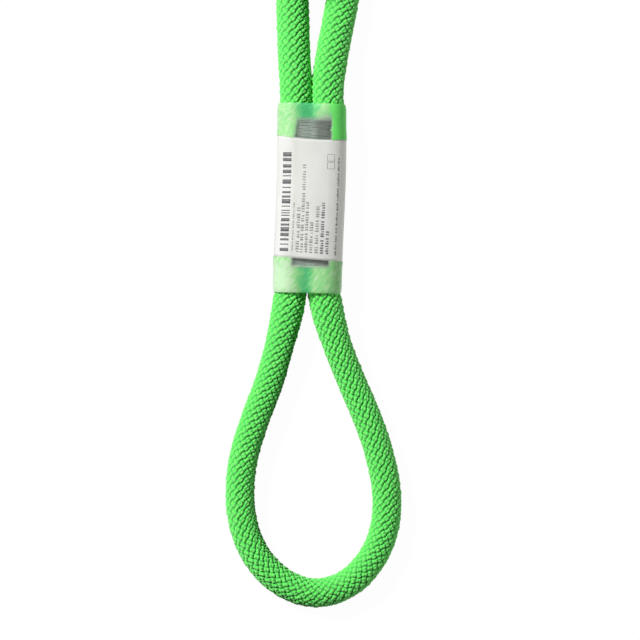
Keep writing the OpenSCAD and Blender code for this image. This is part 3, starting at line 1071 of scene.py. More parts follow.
@dataclass(frozen=True)
class SleeveFinish:
    """Heat-shrink tube: clear where it grips a flat surface, milky over hollows, with painted light
    and shade in its colour.
    """

    # deep is painted shade over the groove, and white a painted highlight on the left.
    deep: Colour = (0.10, 0.66, 0.26, 1)
    thin: Colour = (0.22, 0.78, 0.31, 1)
    milk: Colour = (0.45, 0.87, 0.38, 1)
    white: Colour = (0.72, 0.95, 0.66, 1)
    # A painted light: the bright green that the right side of the main sleeve is tinted with.
    painted_side_light: Colour = (0.16, 0.97, 0.12, 1)
    clear: Colour = (0.80, 0.82, 0.80, 1)
    milky_alpha: float = 0.6
    clear_alpha: float = 0.03
    roughness: float = 0.45

    def material(self) -> Material:
        """A glossy see-through film with faint clouds, slanted streaks and a soft waviness, and
        painted light in its colour.
        """
        s = Shader("milky_shrink_tube")
        streak = s.noise(s.scaled(s.place(), (1300.0, 420.0, 900.0), 0.75), 1.0, 2.0)
        # The milkiness carries painted light: whiter at the left, deep green over the shaded
        # groove.
        drift = s.math("MULTIPLY_ADD", s.math("SUBTRACT", streak, 0.5), 1.1, s.value("haze_and_painted_light"))
        milk = s.ramp(
            drift, [(0.0, self.deep), (0.35, self.thin), (0.7, self.milk), (1.0, self.white)]
        )
        # Painted light: a bright green on the sleeve's right side, which also makes it denser.
        tinted = s.mix(s.math("MULTIPLY", s.value("painted_side_light"), 0.75), milk, self.painted_side_light)
        grip = s.value("grip")
        s.colour(s.mix(grip, tinted, self.clear))
        alpha = s.add("ShaderNodeMapRange")
        dense = s.math("MULTIPLY_ADD", s.value("painted_side_light"), 0.3, self.milky_alpha)
        s.link(dense, alpha.inputs["To Min"])
        alpha.inputs["To Max"].default_value = self.clear_alpha
        s.link(grip, alpha.inputs["Value"])
        s.link(alpha.outputs[0], s.shader.inputs["Alpha"])
        s.bump(s.noise(s.place(), 420.0, 3.0), 0.00012, 0.5)
        s.set(Roughness=self.roughness, Specular_IOR_Level=0.2)
        return s.material


@dataclass(frozen=True)
class MeltedFinish:
    """The rope's cut end, melted into a skin."""

    skin: Colour = (0.16, 0.36, 0.10, 1)
    scorch: Colour = (0.05, 0.07, 0.02, 1)

    def material(self) -> Material:
        """Glassy, with scorched patches."""
        s = Shader("melted_rope_end")
        patch = s.noise(s.place(), 800.0, 4.0)
        s.colour(s.ramp(patch, [(0.35, self.scorch), (0.6, self.skin)]))
        s.bump(patch, 0.0004)
        s.set(Roughness=0.25)
        return s.material


@dataclass(frozen=True)
class PileFinish:
    """Woven band with a looped pile face."""

    name: str
    light: Colour = (0.030, 0.031, 0.035, 1)
    dark: Colour = (0.008, 0.008, 0.010, 1)
    grain: float = 2600.0

    def material(self) -> Material:
        """A fine tangle of loops."""
        s = Shader(self.name)
        tangle = s.noise(s.place(), self.grain, 4.0)
        s.colour(s.ramp(tangle, [(0.35, self.dark), (0.7, self.light)]))
        s.bump(tangle, 0.0004, 0.8)
        s.set(Roughness=0.85, Sheen_Weight=0.3)
        return s.material


# ---- the braid ----


@dataclass(frozen=True)
class Braid:
    """The sheath's plain braid: bands of two yarns pass over and under one band at a time.

    Bands leaning one way follow turn = pi (a - b) / bands and length = (a + b) pitch / 2 with
    b constant, and those leaning the other way have a constant. Each square of the (a, b)
    lattice is one crossing; the band on top runs along a in even rows of crossings and along
    b in odd rows. A crossing shows two lobes, one a yarn, high along their middles and down
    to the pit at every edge, so neighbouring crossings share their edges' points.
    """

    bands: int = 12  # bands leaning each way
    pitch: float = 2.6  # length along the rope between crossings in one column
    depth: float = 1.15  # how deep the pits are below the crests
    corner_depth: float = 0.15  # how much deeper the crossings' corners are, as a share of that
    side_rise: float = 0.1  # height in the middle of an edge along a
    end_rise: float = 0.34  # height in the middle of an edge along b
    uneven: float = 0.16  # how much lower a crossing may be than the others
    wider: float = 0.1  # how far a yarn on top swells to its sides, in crossings
    longer: float = 0.05  # how far it reaches past its ends, in crossings
    # Places of the points along a crossing's edge, as shares of it.
    steps: tuple = (0.0, 0.13, 0.37, 0.5, 0.63, 0.87, 1.0)
    along: tuple = (0.0, 0.70, 0.97, 1.0, 0.97, 0.70, 0.0)  # height at each step along a yarn
    # Height at each step across the two yarns.
    across: tuple = (0.0, 0.82, 0.95, 0.66, 0.95, 0.82, 0.0)
    seed: int = 11  # seed of the unevenness

    # Rows after which the unevenness repeats, and how far apart the two leans are mapped.
    REPEAT = 997
    APART = 500.0

    @property
    def fine(self) -> int:
        """Steps along the edge of a crossing."""
        return len(self.steps) - 1

    @property
    def row_step(self) -> float:
        """Length along the rope from one row of points to the next."""
        return self.pitch / 2 / self.fine

    @property
    def round_count(self) -> int:
        """Points in one row."""
        return self.bands * self.fine

    def heights(self, p: Array, q: Array) -> Array:
        """Height of the lattice's points, 0 in a pit and about 1 on a crest.

        Args:
            p, q: whole steps along a and along b.

        Returns:
            The product of the profiles along and across the yarn on top, times a slight
            unevenness from crossing to crossing.
        """
        i, kp = np.divmod(p, self.fine)
        j, kq = np.divmod(q, self.fine)
        row, column = i + j, (i - j) % (2 * self.bands)
        even = row % 2 == 0
        along, across = np.array(self.along), np.array(self.across)
        height = np.where(even, along[kp] * across[kq], along[kq] * across[kp])
        draw = np.random.default_rng(self.seed).random((self.REPEAT, 2 * self.bands))
        lean = 1.0 - self.uneven * draw[row % self.REPEAT, column]
        corner = (kp == 0) & (kq == 0)
        seam = np.where(kq == 0, self.side_rise, self.end_rise)
        seam = seam * (1 - np.abs(2 * (kp + kq) / self.fine - 1) ** 2)
        height = np.where((kp == 0) ^ (kq == 0), seam, height * lean)
        return height - corner * self.corner_depth

    def stretched(self, p: Array, q: Array) -> Pair:
        """Places of the lattice's points, with the yarns on top swollen over those below.

        With t and u a point's shares along a and b of its crossing and h(t) the square root
        of 4 t (1 - t), the point moves by wider h(t) (2 u - 1) along b and by -longer h(u)
        (2 t - 1) along a, and the other way in odd rows, so that shared edges stay shared.

        Args:
            p, q: whole steps along a and along b.

        Returns:
            The places along a and along b, in crossings.
        """
        steps = np.array(self.steps)
        bow = np.sqrt(4 * steps * (1 - steps))
        i, kp = np.divmod(p, self.fine)
        j, kq = np.divmod(q, self.fine)
        way = np.where((i + j) % 2 == 0, 1.0, -1.0)
        a = i + steps[kp] - way * self.longer * bow[kq] * (2 * steps[kp] - 1)
        b = j + steps[kq] + way * self.wider * bow[kp] * (2 * steps[kq] - 1)
        return a, b

    def surface(self, rope: Rope, start: float, end: float, maps: "BakeStrips") -> Surface:
        """The braided sheath between two lengths of the rope, closed at both ends.

        Args:
            rope: the rope it covers.
            start, end: the two lengths.
            maps: how the sheath is laid flat.

        Returns:
            The surface, with the height on its yarns and a map along them.
        """
        first = int(round(start / self.row_step))
        last = int(round(end / self.row_step))
        p, q = self.lattice(first, last + 2)
        height = self.heights(p, q)
        a, b = self.stretched(p, q)
        s = np.clip((a + b) * self.pitch / 2, 0, rope.length)
        turn = -(a - b) * np.pi / self.bands
        share = rope.crest_share - self.depth / rope.top.max() * (1 - height)
        points = rope.place(s, turn, share).reshape(-1, 3)
        caps, centres = self.caps(first, last, rope, len(points))
        return Surface(
            np.vstack([points, centres]),
            self.faces(first, last),
            caps,
            {
                "yarn": self.yarn_map(first, last, len(caps)),
                "OFBake": maps.flat(first, last, self.round_count, len(caps)),
            },
            {"crest": np.concatenate([height.ravel(), [0, 0]])},
        )

    def lattice(self, first: int, stop: int) -> Pair:
        """Whole steps along a and b of the points in rows first to stop - 1."""
        r, h = np.meshgrid(np.arange(first, stop), np.arange(self.round_count), indexing="ij")
        c = 2 * h + r % 2
        return (r + c) // 2, (r - c) // 2

    def above(self, first: int, row: Array | int, h: Array) -> tuple:
        """Numbers of the points one row above point h of a row, to its right and its left."""
        n, odd = self.round_count, (row + first) % 2
        return (row + 1) * n + (h + odd) % n, (row + 1) * n + (h + odd - 1) % n

    def faces(self, first: int, last: int) -> Array:
        """Quads of the lattice, each from a point to the one two rows above it."""
        n = self.round_count
        r, h = np.meshgrid(np.arange(last - first), np.arange(n), indexing="ij")
        right, left = self.above(first, r, h)
        return np.stack([r * n + h, right, (r + 2) * n + h, left], -1).reshape(-1, 4)

    def caps(self, first: int, last: int, rope: Rope, count: int) -> Pair:
        """Triangles from a centre point to the zigzag edge at each end, and those points."""
        n = self.round_count
        h = np.arange(n)
        made = []
        for row, centre, way in ((0, count, Way.DOWN), (last - first, count + 1, Way.UP)):
            right, left = self.above(first, row, h)
            low, hub = row * n + h, np.full(n, centre)
            both = np.concatenate([np.stack([hub, right, low], -1), np.stack([hub, low, left], -1)])
            made.append(both if way is Way.DOWN else both[:, ::-1])
        ends = np.clip(np.array([first, last]) * self.row_step, 0, rope.length)
        return np.concatenate(made), rope.read(rope.line, ends)

    def yarn_map(self, first: int, last: int, caps: int) -> Array:
        """For each corner, the length along the yarn on top and across the yarns, in mm."""
        fine, steps = self.fine, np.array(self.steps)
        p, q = self.lattice(first, last)
        dp, dq = np.array([0, 1, 1, 0]), np.array([0, 0, 1, 1])
        a = (p // fine)[..., None] + steps[(p % fine)[..., None] + dp]
        b = (q // fine)[..., None] + steps[(q % fine)[..., None] + dq]
        even = ((p // fine + q // fine) % 2 == 0)[..., None]
        side = self.pitch / math.sqrt(2)
        u = np.where(even, a, b) * side
        v = np.where(even, b, a) * side + np.where(even, 0.0, self.APART)
        body = np.stack([u, v], -1).reshape(-1, 2)
        return np.vstack([body, np.zeros((3 * caps, 2))])


@dataclass(frozen=True)
class BakeStrips:
    """How a sheath is laid flat: cut along its length into strips, one above the other."""

    strips: int  # how many strips
    margin: float = 0.03  # the share of a strip's height kept clear at its edges
    caps_at: float = 0.001  # the place where the caps' corners are put, both ways

    def flat(self, first: int, last: int, n: int, caps: int) -> Array:
        """Each corner's place on the flat sheath, with the caps' corners in a point.

        Args:
            first, last: the first and the last row of points.
            n: points in a row.
            caps: how many triangles the caps have.

        Returns:
            Rows of two shares of the map.
        """
        rows = last - first
        r, h = np.meshgrid(np.arange(rows), np.arange(n), indexing="ij")
        c = 2 * h + (r + first) % 2
        long_rows = rows / self.strips
        strip = np.minimum(r // long_rows, self.strips - 1)
        dr, dc = np.array([0, 1, 2, 1]), np.array([0, 1, 0, -1])
        u = (r[..., None] + dr - (strip * long_rows)[..., None]) / (long_rows + 2)
        v = (c[..., None] + dc + 1) / (2 * n + 1)
        v = (strip[..., None] + self.margin + (1 - 2 * self.margin) * v) / self.strips
        body = np.stack([u, v], -1).reshape(-1, 2)
        return np.vstack([body, np.full((3 * caps, 2), self.caps_at)])


# ---- sub-assemblies ----


class Workshop:
    """Makes pieces: builds a surface, dresses it and puts it on its body."""

    def __init__(self, origin: Array) -> None:
        """Keeps the place of the tie-in sleeve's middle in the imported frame, in metres."""
        self.origin = origin

    def piece(
        self, surface: Surface, name: str, material: Material, slot: str,
        body: str = BODY, stands_for: tuple = (),
    ) -> bpy.types.Object:
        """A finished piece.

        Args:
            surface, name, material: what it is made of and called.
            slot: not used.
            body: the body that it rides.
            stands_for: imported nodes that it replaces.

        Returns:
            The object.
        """
        made = surface.build(name, self.origin)
        made.data.materials.append(material)
        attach(made, body)
        if stands_for:
            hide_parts(*stands_for)
        log.info("%s: %d faces on %s", name, len(made.data.polygons), body)
        return made

    def metres(self, points: Array) -> list:
        """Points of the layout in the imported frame."""
        return (np.asarray(points) * MM + self.origin).tolist()


@dataclass
class RopeWork:
    """The rope itself: braided sheath, twisted core and melted ends."""

    shop: Workshop
    size: Layout
    rope: Rope  # the rope's line and section
    braid: Braid = field(default_factory=Braid)  # the sheath's pattern
    hank_parts: int = 3  # how many lengths the hank's sheath is made in, to keep each mesh light
    core_strands: int = 6  # how many strands go round the middle one
    core_lay: float = 42.0  # length of one turn of theirs
    core_share: float = 0.44  # distance of their centres from the rope's, as a share of the section
    core_strand_r: float = 0.97
    core_sides: int = 6
    core_step: float = 2.5
    path_step: float = 2.0  # space between the points of the path worked out along each length of sheath

    def build(self) -> None:
        """Makes the six stretches of the rope and its two cut ends."""
        sheath = BraidFinish().material()
        core = CoreFinish().material()
        for stretch in self.rope.stretches:
            core_piece = self.shop.piece(
                self.core(stretch), f"{stretch.name}_core_strands", core, "rope_core",
                stands_for=(f"core_{stretch.name}",),
            )
            self.sheath(stretch, sheath, core_piece)
        self.ends()

    def sheath(self, stretch: Stretch, material: Material, core: bpy.types.Object) -> None:
        """The braided sheath of one stretch.

        Args:
            stretch: the stretch of rope.
            material: the sheath's material.
            core: the core's piece; not used.
        """
        parts = self.hank_parts if stretch.name == "long_arm_hank" else 1
        cuts = np.linspace(stretch.start, stretch.end, parts + 1)
        for k in range(parts):
            name = f"{stretch.name}_sheath" + (f"_{k + 1}" if parts > 1 else "")
            a, b = float(cuts[k]), float(cuts[k + 1])
            strips = max(2, round(math.sqrt((b - a) / (math.pi * self.size.rope_d))))
            surface = self.braid.surface(self.rope, a, b, BakeStrips(strips))
            made = self.shop.piece(
                surface, name, material, "rope_sheath",
                stands_for=(f"sheath_{stretch.name}",) if k == 0 else (),
            )
            path = self.rope.path(a, b, self.path_step)
            self.shop.metres(path[0])
            self.shop.metres(path)

    def core(self, stretch: Stretch) -> Surface:
        """The core's strands: one in the middle and the others wound round it.

        Strand k at length s is at turn 2 pi (s / lay + k / strands) on a share of the section.

        Args:
            stretch: the stretch of rope.

        Returns:
            The strands as closed tubes.
        """
        count = int((stretch.end - stretch.start) / self.core_step)
        s = np.linspace(stretch.start, stretch.end, count)
        k = np.arange(self.core_strands)[:, None]
        turn = 2 * np.pi * (s / self.core_lay + k / self.core_strands)
        wound = self.rope.place(np.broadcast_to(s, turn.shape), turn, self.core_share)
        lines = np.concatenate([self.rope.read(self.rope.line, s)[None], wound])
        return tubes(lines, np.full(lines.shape[:2], self.core_strand_r), self.core_sides)

    def ends(self) -> None:
        """The two cut ends, melted into shallow domes."""
        material = MeltedFinish().material()
        for name, s, way in (("short_arm", 0.0, Way.DOWN), ("long_arm", self.rope.length, Way.UP)):
            self.shop.piece(self.dome(s, way), f"{name}_cut_end", material, "rope_sheath")

    def dome(self, s: float, way: Way) -> Surface:
        """A shallow dome on the rope's end.

        A ring has the share cos(e) of the section and stands sin(e) times the height out,
        where e goes from 0 at the rim to nearly a quarter turn at the top.

        Args:
            s: the length along the rope where it ends.
            way: up at the rope's last end, down at its first.

        Returns:
            The dome, with a short skirt round the rope's end.
        """
        rings, sides, height, skirt = 7, 48, 1.1, 1.2
        reach, flare = 0.97, 1.012
        e = np.linspace(0, np.pi / 2 * reach, rings)
        share = np.concatenate([[1.0], np.cos(e) * flare])
        out = np.concatenate([[-skirt], height * np.sin(e)])
        turn = np.arange(sides) * 2 * np.pi / sides
        share_grid, turn_grid = np.meshgrid(share, turn, indexing="ij")
        at = np.full(share_grid.shape, s)
        points = self.rope.place(at, turn_grid, share_grid)
        forward = way * self.rope.read(self.rope.along, np.array([s]))[0]
        points = points + out[:, None, None] * forward
        rows = len(share)
        tip = self.rope.read(self.rope.line, np.array([s]))[0]
        hubs = [tip + height * forward, tip - skirt * forward]
        last = way is Way.UP
        caps = np.concatenate([
            fan(rows * sides, (rows - 1) * sides, sides),
            fan(rows * sides + 1, 0, sides, turned=True),
        ])
        return Surface(
            np.vstack([points.reshape(-1, 3), hubs]),
            grid_faces(rows, sides, turned=last),
            caps[:, ::-1] if last else caps,
        )


@dataclass
class SewnTermination:
    """Stitching, label and sleeve of one sewn termination."""

    shop: Workshop
    size: Layout
    place: Termination  # where the termination is
    seam_len: float  # length of the stitched block
    seam_y: float = 0.0  # the block's middle, from the sleeve's
    seed: int = 3  # seed of the sleeve's waviness and of the rows' unevenness
    row_pitch: float = 0.43  # space between the rows of thread
    thread_r: float = 0.23
    thread_sides: int = 6
    wall: float = 0.42  # thickness of the sleeve
    lip: float = 2.6  # length over which the sleeve is rounded at a lip
    drawn_in: float = 0.5  # how far it is drawn in there
    lip_thinning: float = 0.4  # the share of its thickness that it loses there
    label_lift: float = 0.12  # how far the label lifts it
    label_thinning: float = 0.32  # how much thinner it is over the label
    middle_dip: float = 0.08  # how far it sinks over the groove in its middle
    end_dip: float = 0.62  # how much further it sinks towards its lips
    waviness: float = 0.035
    columns: int = 128
    film_wall: float = 0.2  # thickness of the label
    row_sink: float = 0.42  # how far the rows sink into the groove
    row_leg: float = 0.9  # how far their ends turn down into the rope
    label: "LabelPrint | None" = None  # the label under the sleeve, or None where there is none

    # How much flatter the underside is, which lies on the floor.
    FLATTER = 0.028
    # Where the sleeve's rings are close: at the label's two edges.
    LABEL_EDGE_SPANS = ((-20.6, -18.7), (18.6, 20.4))
    LABEL_EDGE_STEP = 0.15
    # How milky the sleeve is by distance across, above its middle and below it, with painted light
    # in it:
    # a painted highlight where it is high at the left, and painted shade where it is low over the
    # groove.
    HAZE_AND_LIGHT_ABOVE = (
        (-11, 0.75), (-6.5, 0.72), (-5.2, 0.6), (-3.8, 0.3), (-2.4, 0.05), (-0.3, 0.02),
        (1.2, 0.35), (3.5, 0.72), (5.0, 0.68), (6.5, 0.42), (8.5, 0.3), (11, 0.3),
    )
    HAZE_AND_LIGHT_BELOW = (
        (-11, 0.75), (-7, 0.72), (-4, 0.6), (-2.5, 0.38), (-0.9, 0.15), (0.7, 0.3),
        (2.3, 0.7), (4, 0.7), (11, 0.68),
    )
    # How much painted light pales the label, and how much painted shade darkens the thread, by
    # distance across.
    PAINTED_LABEL_LIGHT = (
        (-7.0, 0.0), (-5.0, 0.3), (-3.5, 0.45), (-1.5, 0.45), (1.0, 0.28), (4.5, 0.0),
        (6.5, 0.0), (8.0, 0.45), (9.5, 1.0),
    )
    PAINTED_THREAD_SHADE = ((0.0, 0), (2.5, 0.8), (5.0, 0.9), (6.8, 1))
    # The rows at the block's upper end lean more and stand higher.
    END_ROWS = 2
    END_LEAN = 0.05
    END_RISE = 0.18

    def local(self, points: Array) -> Pair:
        """Distances of points from the termination's middle, across and along."""
        return points[:, 0] - self.place.x, points[:, 1] - self.place.y

    def outline(self, turn: Array, r: Array | float) -> Pair:
        """The racetrack round both strands, at radius r from their centres.

        Args:
            turn: shares of the way round, from the right-hand side upwards.
            r: the radius.

        Returns:
            The distances across and up from the termination's middle.
        """
        a = self.size.strand_x
        flat, bend = 2 * a, np.pi * self.size.sleeve_r
        total = 2 * (flat + bend)
        d = (np.asarray(turn) % 1.0) * total
        quarter = bend / 2
        marks = [quarter, quarter + flat, quarter + flat + bend, quarter + 2 * flat + bend]
        part = np.searchsorted(marks, d, side="right")
        top, left, below, late = (part == k for k in (1, 2, 3, 4))
        angle = np.select(
            [top, left, below, late],
            [
                np.pi / 2,
                np.pi / 2 + (d - marks[1]) / bend * np.pi,
                -np.pi / 2,
                (d - total) / bend * np.pi,
            ],
            d / bend * np.pi,
        )
        centre = np.select([top, left, below], [a - (d - marks[0]), -a, -a + (d - marks[2])], a)
        return centre + r * np.cos(angle), r * np.sin(angle)

    def set_down(self, points: Array) -> Array:
        """Points round the middle, moved to their place and its bow, and flatter underneath."""
        moved = points + [self.place.x, self.place.y, self.place.z]
        moved[..., 0] += self.place.bowed(moved[..., 1])
        moved[..., 2] -= self.FLATTER * np.minimum(points[..., 2], 0)
        return moved

    def groove(self, x: Array, up: Array, dip: Array | float) -> Array:
        """How far a skin sinks towards the groove between the strands, at distance x."""
        a = self.size.strand_x
        share = np.where(np.abs(x) < a, np.cos(np.pi * x / (2 * a)) ** 2, 0.0)
        return up - np.sign(up) * dip * share

    def skin(
        self, y: Array, inner: Array, outer: Array, dip: Array,
        slant: tuple[float, float] = (0.0, 0.0), curve: float = 0.0, uneven: float = 0.0,
    ) -> Surface:
        """A closed wall round both strands.

        Ring k is the racetrack at radius outer[k] or inner[k], sunk by dip[k] over the groove,
        at y[k] plus a slant that goes from the first ring's to the last one's.

        Args:
            y: places along the termination, from its middle.
            inner, outer: inner and outer radius at each place.
            dip: how far the wall sinks over the groove at each place.
            slant: rise of the first and the last ring, per millimetre across.
            curve: how the last ring rises with the square of the distance across.
            uneven: size of a gentle waviness.

        Returns:
            The wall, with its two lips closed.
        """
        rows, columns = len(y), self.columns
        turn = np.arange(columns) / columns
        share = ((y - y[0]) / (y[-1] - y[0]))[:, None]
        rng = np.random.default_rng(self.seed)
        phase = rng.random(6) * 2 * np.pi
        wave = sum(
            np.sin(2 * np.pi * k * turn[None] + y[:, None] * (0.11 + 0.05 * k) + phase[k])
            for k in range(1, 6)
        ) * (uneven / 3)
        grids = []
        for radius in (outer, inner):
            x, up = self.outline(np.broadcast_to(turn, (rows, columns)), radius[:, None] + wave)
            up = self.groove(x, up, dip[:, None])
            rise = slant[0] * (1 - share) + slant[1] * share
            moved = y[:, None] + rise * x + curve * share * x**2
            grids.append(np.stack([x, moved, up], -1))
        points = self.set_down(np.concatenate([g.reshape(-1, 3) for g in grids]))
        n = rows * columns
        k = np.arange(columns)
        j = (k + 1) % columns
        low = np.stack([j, j + n, k + n, k], -1)
        lips = [low, np.stack([k + n, j + n, j, k], -1) + n - columns]
        faces = np.concatenate([
            grid_faces(rows, columns, turned=True), grid_faces(rows, columns, first=n), *lips
        ])
        return Surface(points, faces, maps={"OFBake": self.flat_map(rows, columns)})

    @staticmethod
    def flat_map(rows: int, columns: int) -> Array:
        """The wall laid flat: the inner face below the outer one, and the lips as lines.

        Args:
            rows: how many rings.
            columns: points round a ring.

        Returns:
            Each corner's place on the map.
        """
        r, c = np.mgrid[0 : rows - 1, 0:columns]
        u = np.stack([c, c + 1, c + 1, c], -1) / columns
        v = np.stack([r, r, r + 1, r + 1], -1) / (rows - 1)
        inner = np.stack([u, 0.02 + 0.44 * v], -1)
        outer = np.stack([u, 0.52 + 0.44 * v], -1)[:, :, ::-1]
        k = np.arange(columns)
        across = np.stack([k, k, k + 1, k + 1], -1) / columns
        lips = [
            np.stack([across, np.broadcast_to(np.array(v4), across.shape)], -1)
            for v4 in ((0.02, 0.01, 0.01, 0.02), (0.98, 0.99, 0.99, 0.98))
        ]
        faces = [outer, inner, lips[0][:, ::-1], lips[1]]
        return np.vstack([f.reshape(-1, 2) for f in faces])

    def sleeve(self, material: Material, node: str) -> None:
        """The heat-shrink sleeve, drawn in and rounded at its lips.

        Args:
            material: its material.
            node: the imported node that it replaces.
        """
        half, lip = self.place.length / 2, self.lip
        edge = half - lip * (1 - np.sin(np.linspace(0, np.pi / 2, 8)))
        middle = np.linspace(-edge[0], edge[0], 34)[1:-1]
        y = np.concatenate([-edge[::-1], middle, edge])
        if self.label:
            close = [np.arange(*span, self.LABEL_EDGE_STEP) for span in self.LABEL_EDGE_SPANS]
            y = np.unique(np.concatenate([y, *close]))
        into = np.clip((np.abs(y) - (half - lip)) / lip, 0, 1)
        drawn = self.drawn_in * (1 - np.sqrt(1 - into**2 * 0.98))
        over_label = smooth((22.0 - np.abs(y)) / 1.5) if self.label else 0.0
        outer = self.size.sleeve_r - drawn + self.label_lift * over_label
        thickness = self.wall - self.label_thinning * over_label
        inner = outer - thickness * (1 - self.lip_thinning * into**2)
        free = smooth((np.abs(y) - half * 0.62) / (half * 0.3))
        dip = self.middle_dip + self.end_dip * free
        surface = self.skin(y, inner, outer, dip, uneven=self.waviness)
        surface.values["grip"] = self.grip(surface.points)
        # Milkiness with painted light: a highlight at the left and shade over the groove.
        surface.values["haze_and_painted_light"] = self.haze_and_painted_light(surface.points)
        x, y = self.local(surface.points)
        # Painted light on the upper right of the main sleeve.
        painted_side_light = smooth((x - 5.0) / 2.0) * smooth((y + 5) / 10)
        surface.values["painted_side_light"] = painted_side_light * (self.label is not None)
        self.shop.piece(
            surface, f"{self.place.name}_shrink_tube", material, "shrink_sleeve", stands_for=(node,)
        )

    def grip(self, points: Array) -> Array:
        """How closely the sleeve grips what is under it.

        Args:
            points: points of the sleeve.

        Returns:
            A number for each, from 0 over hollows to 1 over the label and nearly 1 over thread.
        """
        x, y = self.local(points)
        half = self.seam_len / 2
        left = -4.4 - 0.9 * smooth((26.5 - y) / 7.0)
        over_seam = (
            smooth((x - left + 0.6) / 1.2)
            * smooth((7.2 - x) / 0.8)
            * smooth((y - self.seam_y + half + 0.5) / 1.2)
            * smooth((half + 0.5 - y + self.seam_y + 0.06 * x) / 1.0)
        )
        grip = 0.95 * over_seam
        if self.label:
            low, high = self.label.edges(x)
            grip = np.maximum(grip, smooth((y - low) / 0.3) * smooth((high - y) / 0.3))
        return grip

    def haze_and_painted_light(self, points: Array) -> Array:
        """How milky the sleeve is where it isn't clear, with painted shade where it is least, over
        the groove, and a painted highlight where it is most, at the left.
        """
        x, y = self.local(points)
        lower = profile(x, self.HAZE_AND_LIGHT_BELOW)
        if not self.label:
            return lower
        across = lower + (profile(x, self.HAZE_AND_LIGHT_ABOVE) - lower) * smooth((y + 5) / 10)
        return across + 0.3 * smooth((-18 - y) / 5) * smooth((-1 - x) / 5)

    def stitching(self, material: Material, node: str) -> None:
        """The stitched block: close rows of thread over both strands, above and below.

        A row runs straight across, a little slanted, sinks into the groove by the squared
        cosine of its place and turns down into the rope at both ends.

        Args:
            material: the thread's material.
            node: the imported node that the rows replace.
        """
        rng = np.random.default_rng(self.seed)
        rows = int(self.seam_len / self.row_pitch)
        surfaces = []
        for face in (Way.UP, Way.DOWN):
            t = np.linspace(-1, 1, 25)
            y0 = np.linspace(-0.5, 0.5, rows) * self.seam_len + self.seam_y
            y0 = y0 + rng.normal(0, 0.05, rows)
            left = -4.5 - 0.8 * smooth((26.0 - y0) / 7.0) + rng.normal(0, 0.1, rows)
            right = 6.5 + rng.normal(0, 0.4, rows)
            slope = 0.1 * smooth(y0 / self.seam_len + 0.5) - 0.01 + rng.normal(0, 0.006, rows)
            slope[-self.END_ROWS :] += self.END_LEAN
            x = (left + right)[:, None] / 2 + (right - left)[:, None] / 2 * t
            top = 4.55 + self.thread_r * (0.55 + 0.5 * rng.random((rows, 1)))
            top[-self.END_ROWS :] += self.END_RISE
            share = np.cos(np.pi * np.clip(x / (2 * self.size.strand_x), -0.5, 0.5)) ** 2
            leg = smooth((np.abs(t) - 0.9) / 0.1)[None] * self.row_leg
            up = face * (top - self.row_sink * share - leg)
            y = y0[:, None] + slope[:, None] * x
            lines = self.set_down(np.stack([x, y, up], -1))
            radii = np.full(lines.shape[:2], self.thread_r) * (1 - 0.12 * rng.random((rows, 1)))
            surfaces.append(tubes(lines, radii, self.thread_sides, ALONG_Y))
        made = Surface.joined(surfaces)
        x, y = self.local(made.points)
        # Painted shade on the rows: a little darker below the block's upper end, and much darker
        # towards the right.
        low = 0.25 * smooth((self.seam_y + self.seam_len / 2 - y) / 4.0)
        made.values["painted_thread_shade"] = np.maximum(low, profile(x, self.PAINTED_THREAD_SHADE))
        self.shop.piece(
            made, f"{self.place.name}_thread_rows", material, "bar_tack_thread", stands_for=(node,)
        )

    def film(self, material: Material, node: str) -> None:
        """The label: a band of film round both strands, cut a little askew.

        Args:
            material: its material.
            node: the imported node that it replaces.
        """
        label = self.label
        y = np.linspace(label.low, label.high, 44)
        inner = np.full(len(y), label.radius - self.film_wall)
        outer = np.full(len(y), label.radius)
        dip = np.full(len(y), label.dip)
        slant = (label.low_slant, label.high_slant)
        surface = self.skin(y, inner, outer, dip, slant, label.high_curve)
        # Painted light: the label is paler around and left of its middle and at its right edge.
        surface.values["pale"] = profile(self.local(surface.points)[0], self.PAINTED_LABEL_LIGHT)
        self.shop.piece(
            surface, f"{self.place.name}_label_film", material, "label_film", stands_for=(node,)
        )

    def bar(self, x0: float, x1: float, y0: float, y1: float) -> Surface:
        """A printed bar on the label's upper side, between two distances across and along.

        The print follows the film: at distance x past a strand's centre it stands
        sqrt(r^2 - x^2) above it, and between the strands it sinks as the film does.

        Args:
            x0, x1: its left and right side, as seen from above.
            y0, y1: its lower and upper end.

        Returns:
            A thin closed plate.
        """
        step, proud, thick = 0.3, 0.02, 0.05
        across, along = np.meshgrid(
            np.linspace(x0, x1, 2 + int((x1 - x0) / step)), np.linspace(y0, y1, 2), indexing="ij"
        )
        r = self.label.radius + proud
        beyond = np.clip(np.abs(across) - self.size.strand_x, 0, r * 0.99)
        up = self.groove(across, np.sqrt(r**2 - beyond**2), self.label.dip)
        top = np.stack([across, along, up], -1)
        points = self.set_down(
            np.concatenate([top.reshape(-1, 3), (top - [0, 0, thick]).reshape(-1, 3)])
        )
        rows, columns = across.shape
        i, j = np.mgrid[0 : rows - 1, 0 : columns - 1]
        n = i * columns + j
        upper = np.stack([n, n + columns, n + columns + 1, n + 1], -1).reshape(-1, 4)
        rim = np.concatenate([
            np.arange(columns - 1),
            np.arange(rows - 1) * columns + columns - 1,
            np.arange(columns - 1, 0, -1) + (rows - 1) * columns,
            np.arange(rows - 1, 0, -1) * columns,
        ])
        after = np.roll(rim, -1)
        count = rows * columns
        wall = np.stack([rim, after, after + count, rim + count], -1)
        return Surface(points, np.concatenate([upper, upper[:, ::-1] + count, wall]))

    def printing(self, dark: Material, pale: Material) -> None:
        """The print: plain bars, ruled lines and two empty boxes.

        Args:
            dark, pale: inks of the bold and of the fine print.
        """
        bold, fine = self.label.bars()
        for name, bars, ink in (("bold", bold, dark), ("fine", fine, pale)):
            self.shop.piece(
                Surface.joined([self.bar(*b) for b in bars]),
                f"{self.place.name}_label_{name}_print", ink, "label_film",
            )


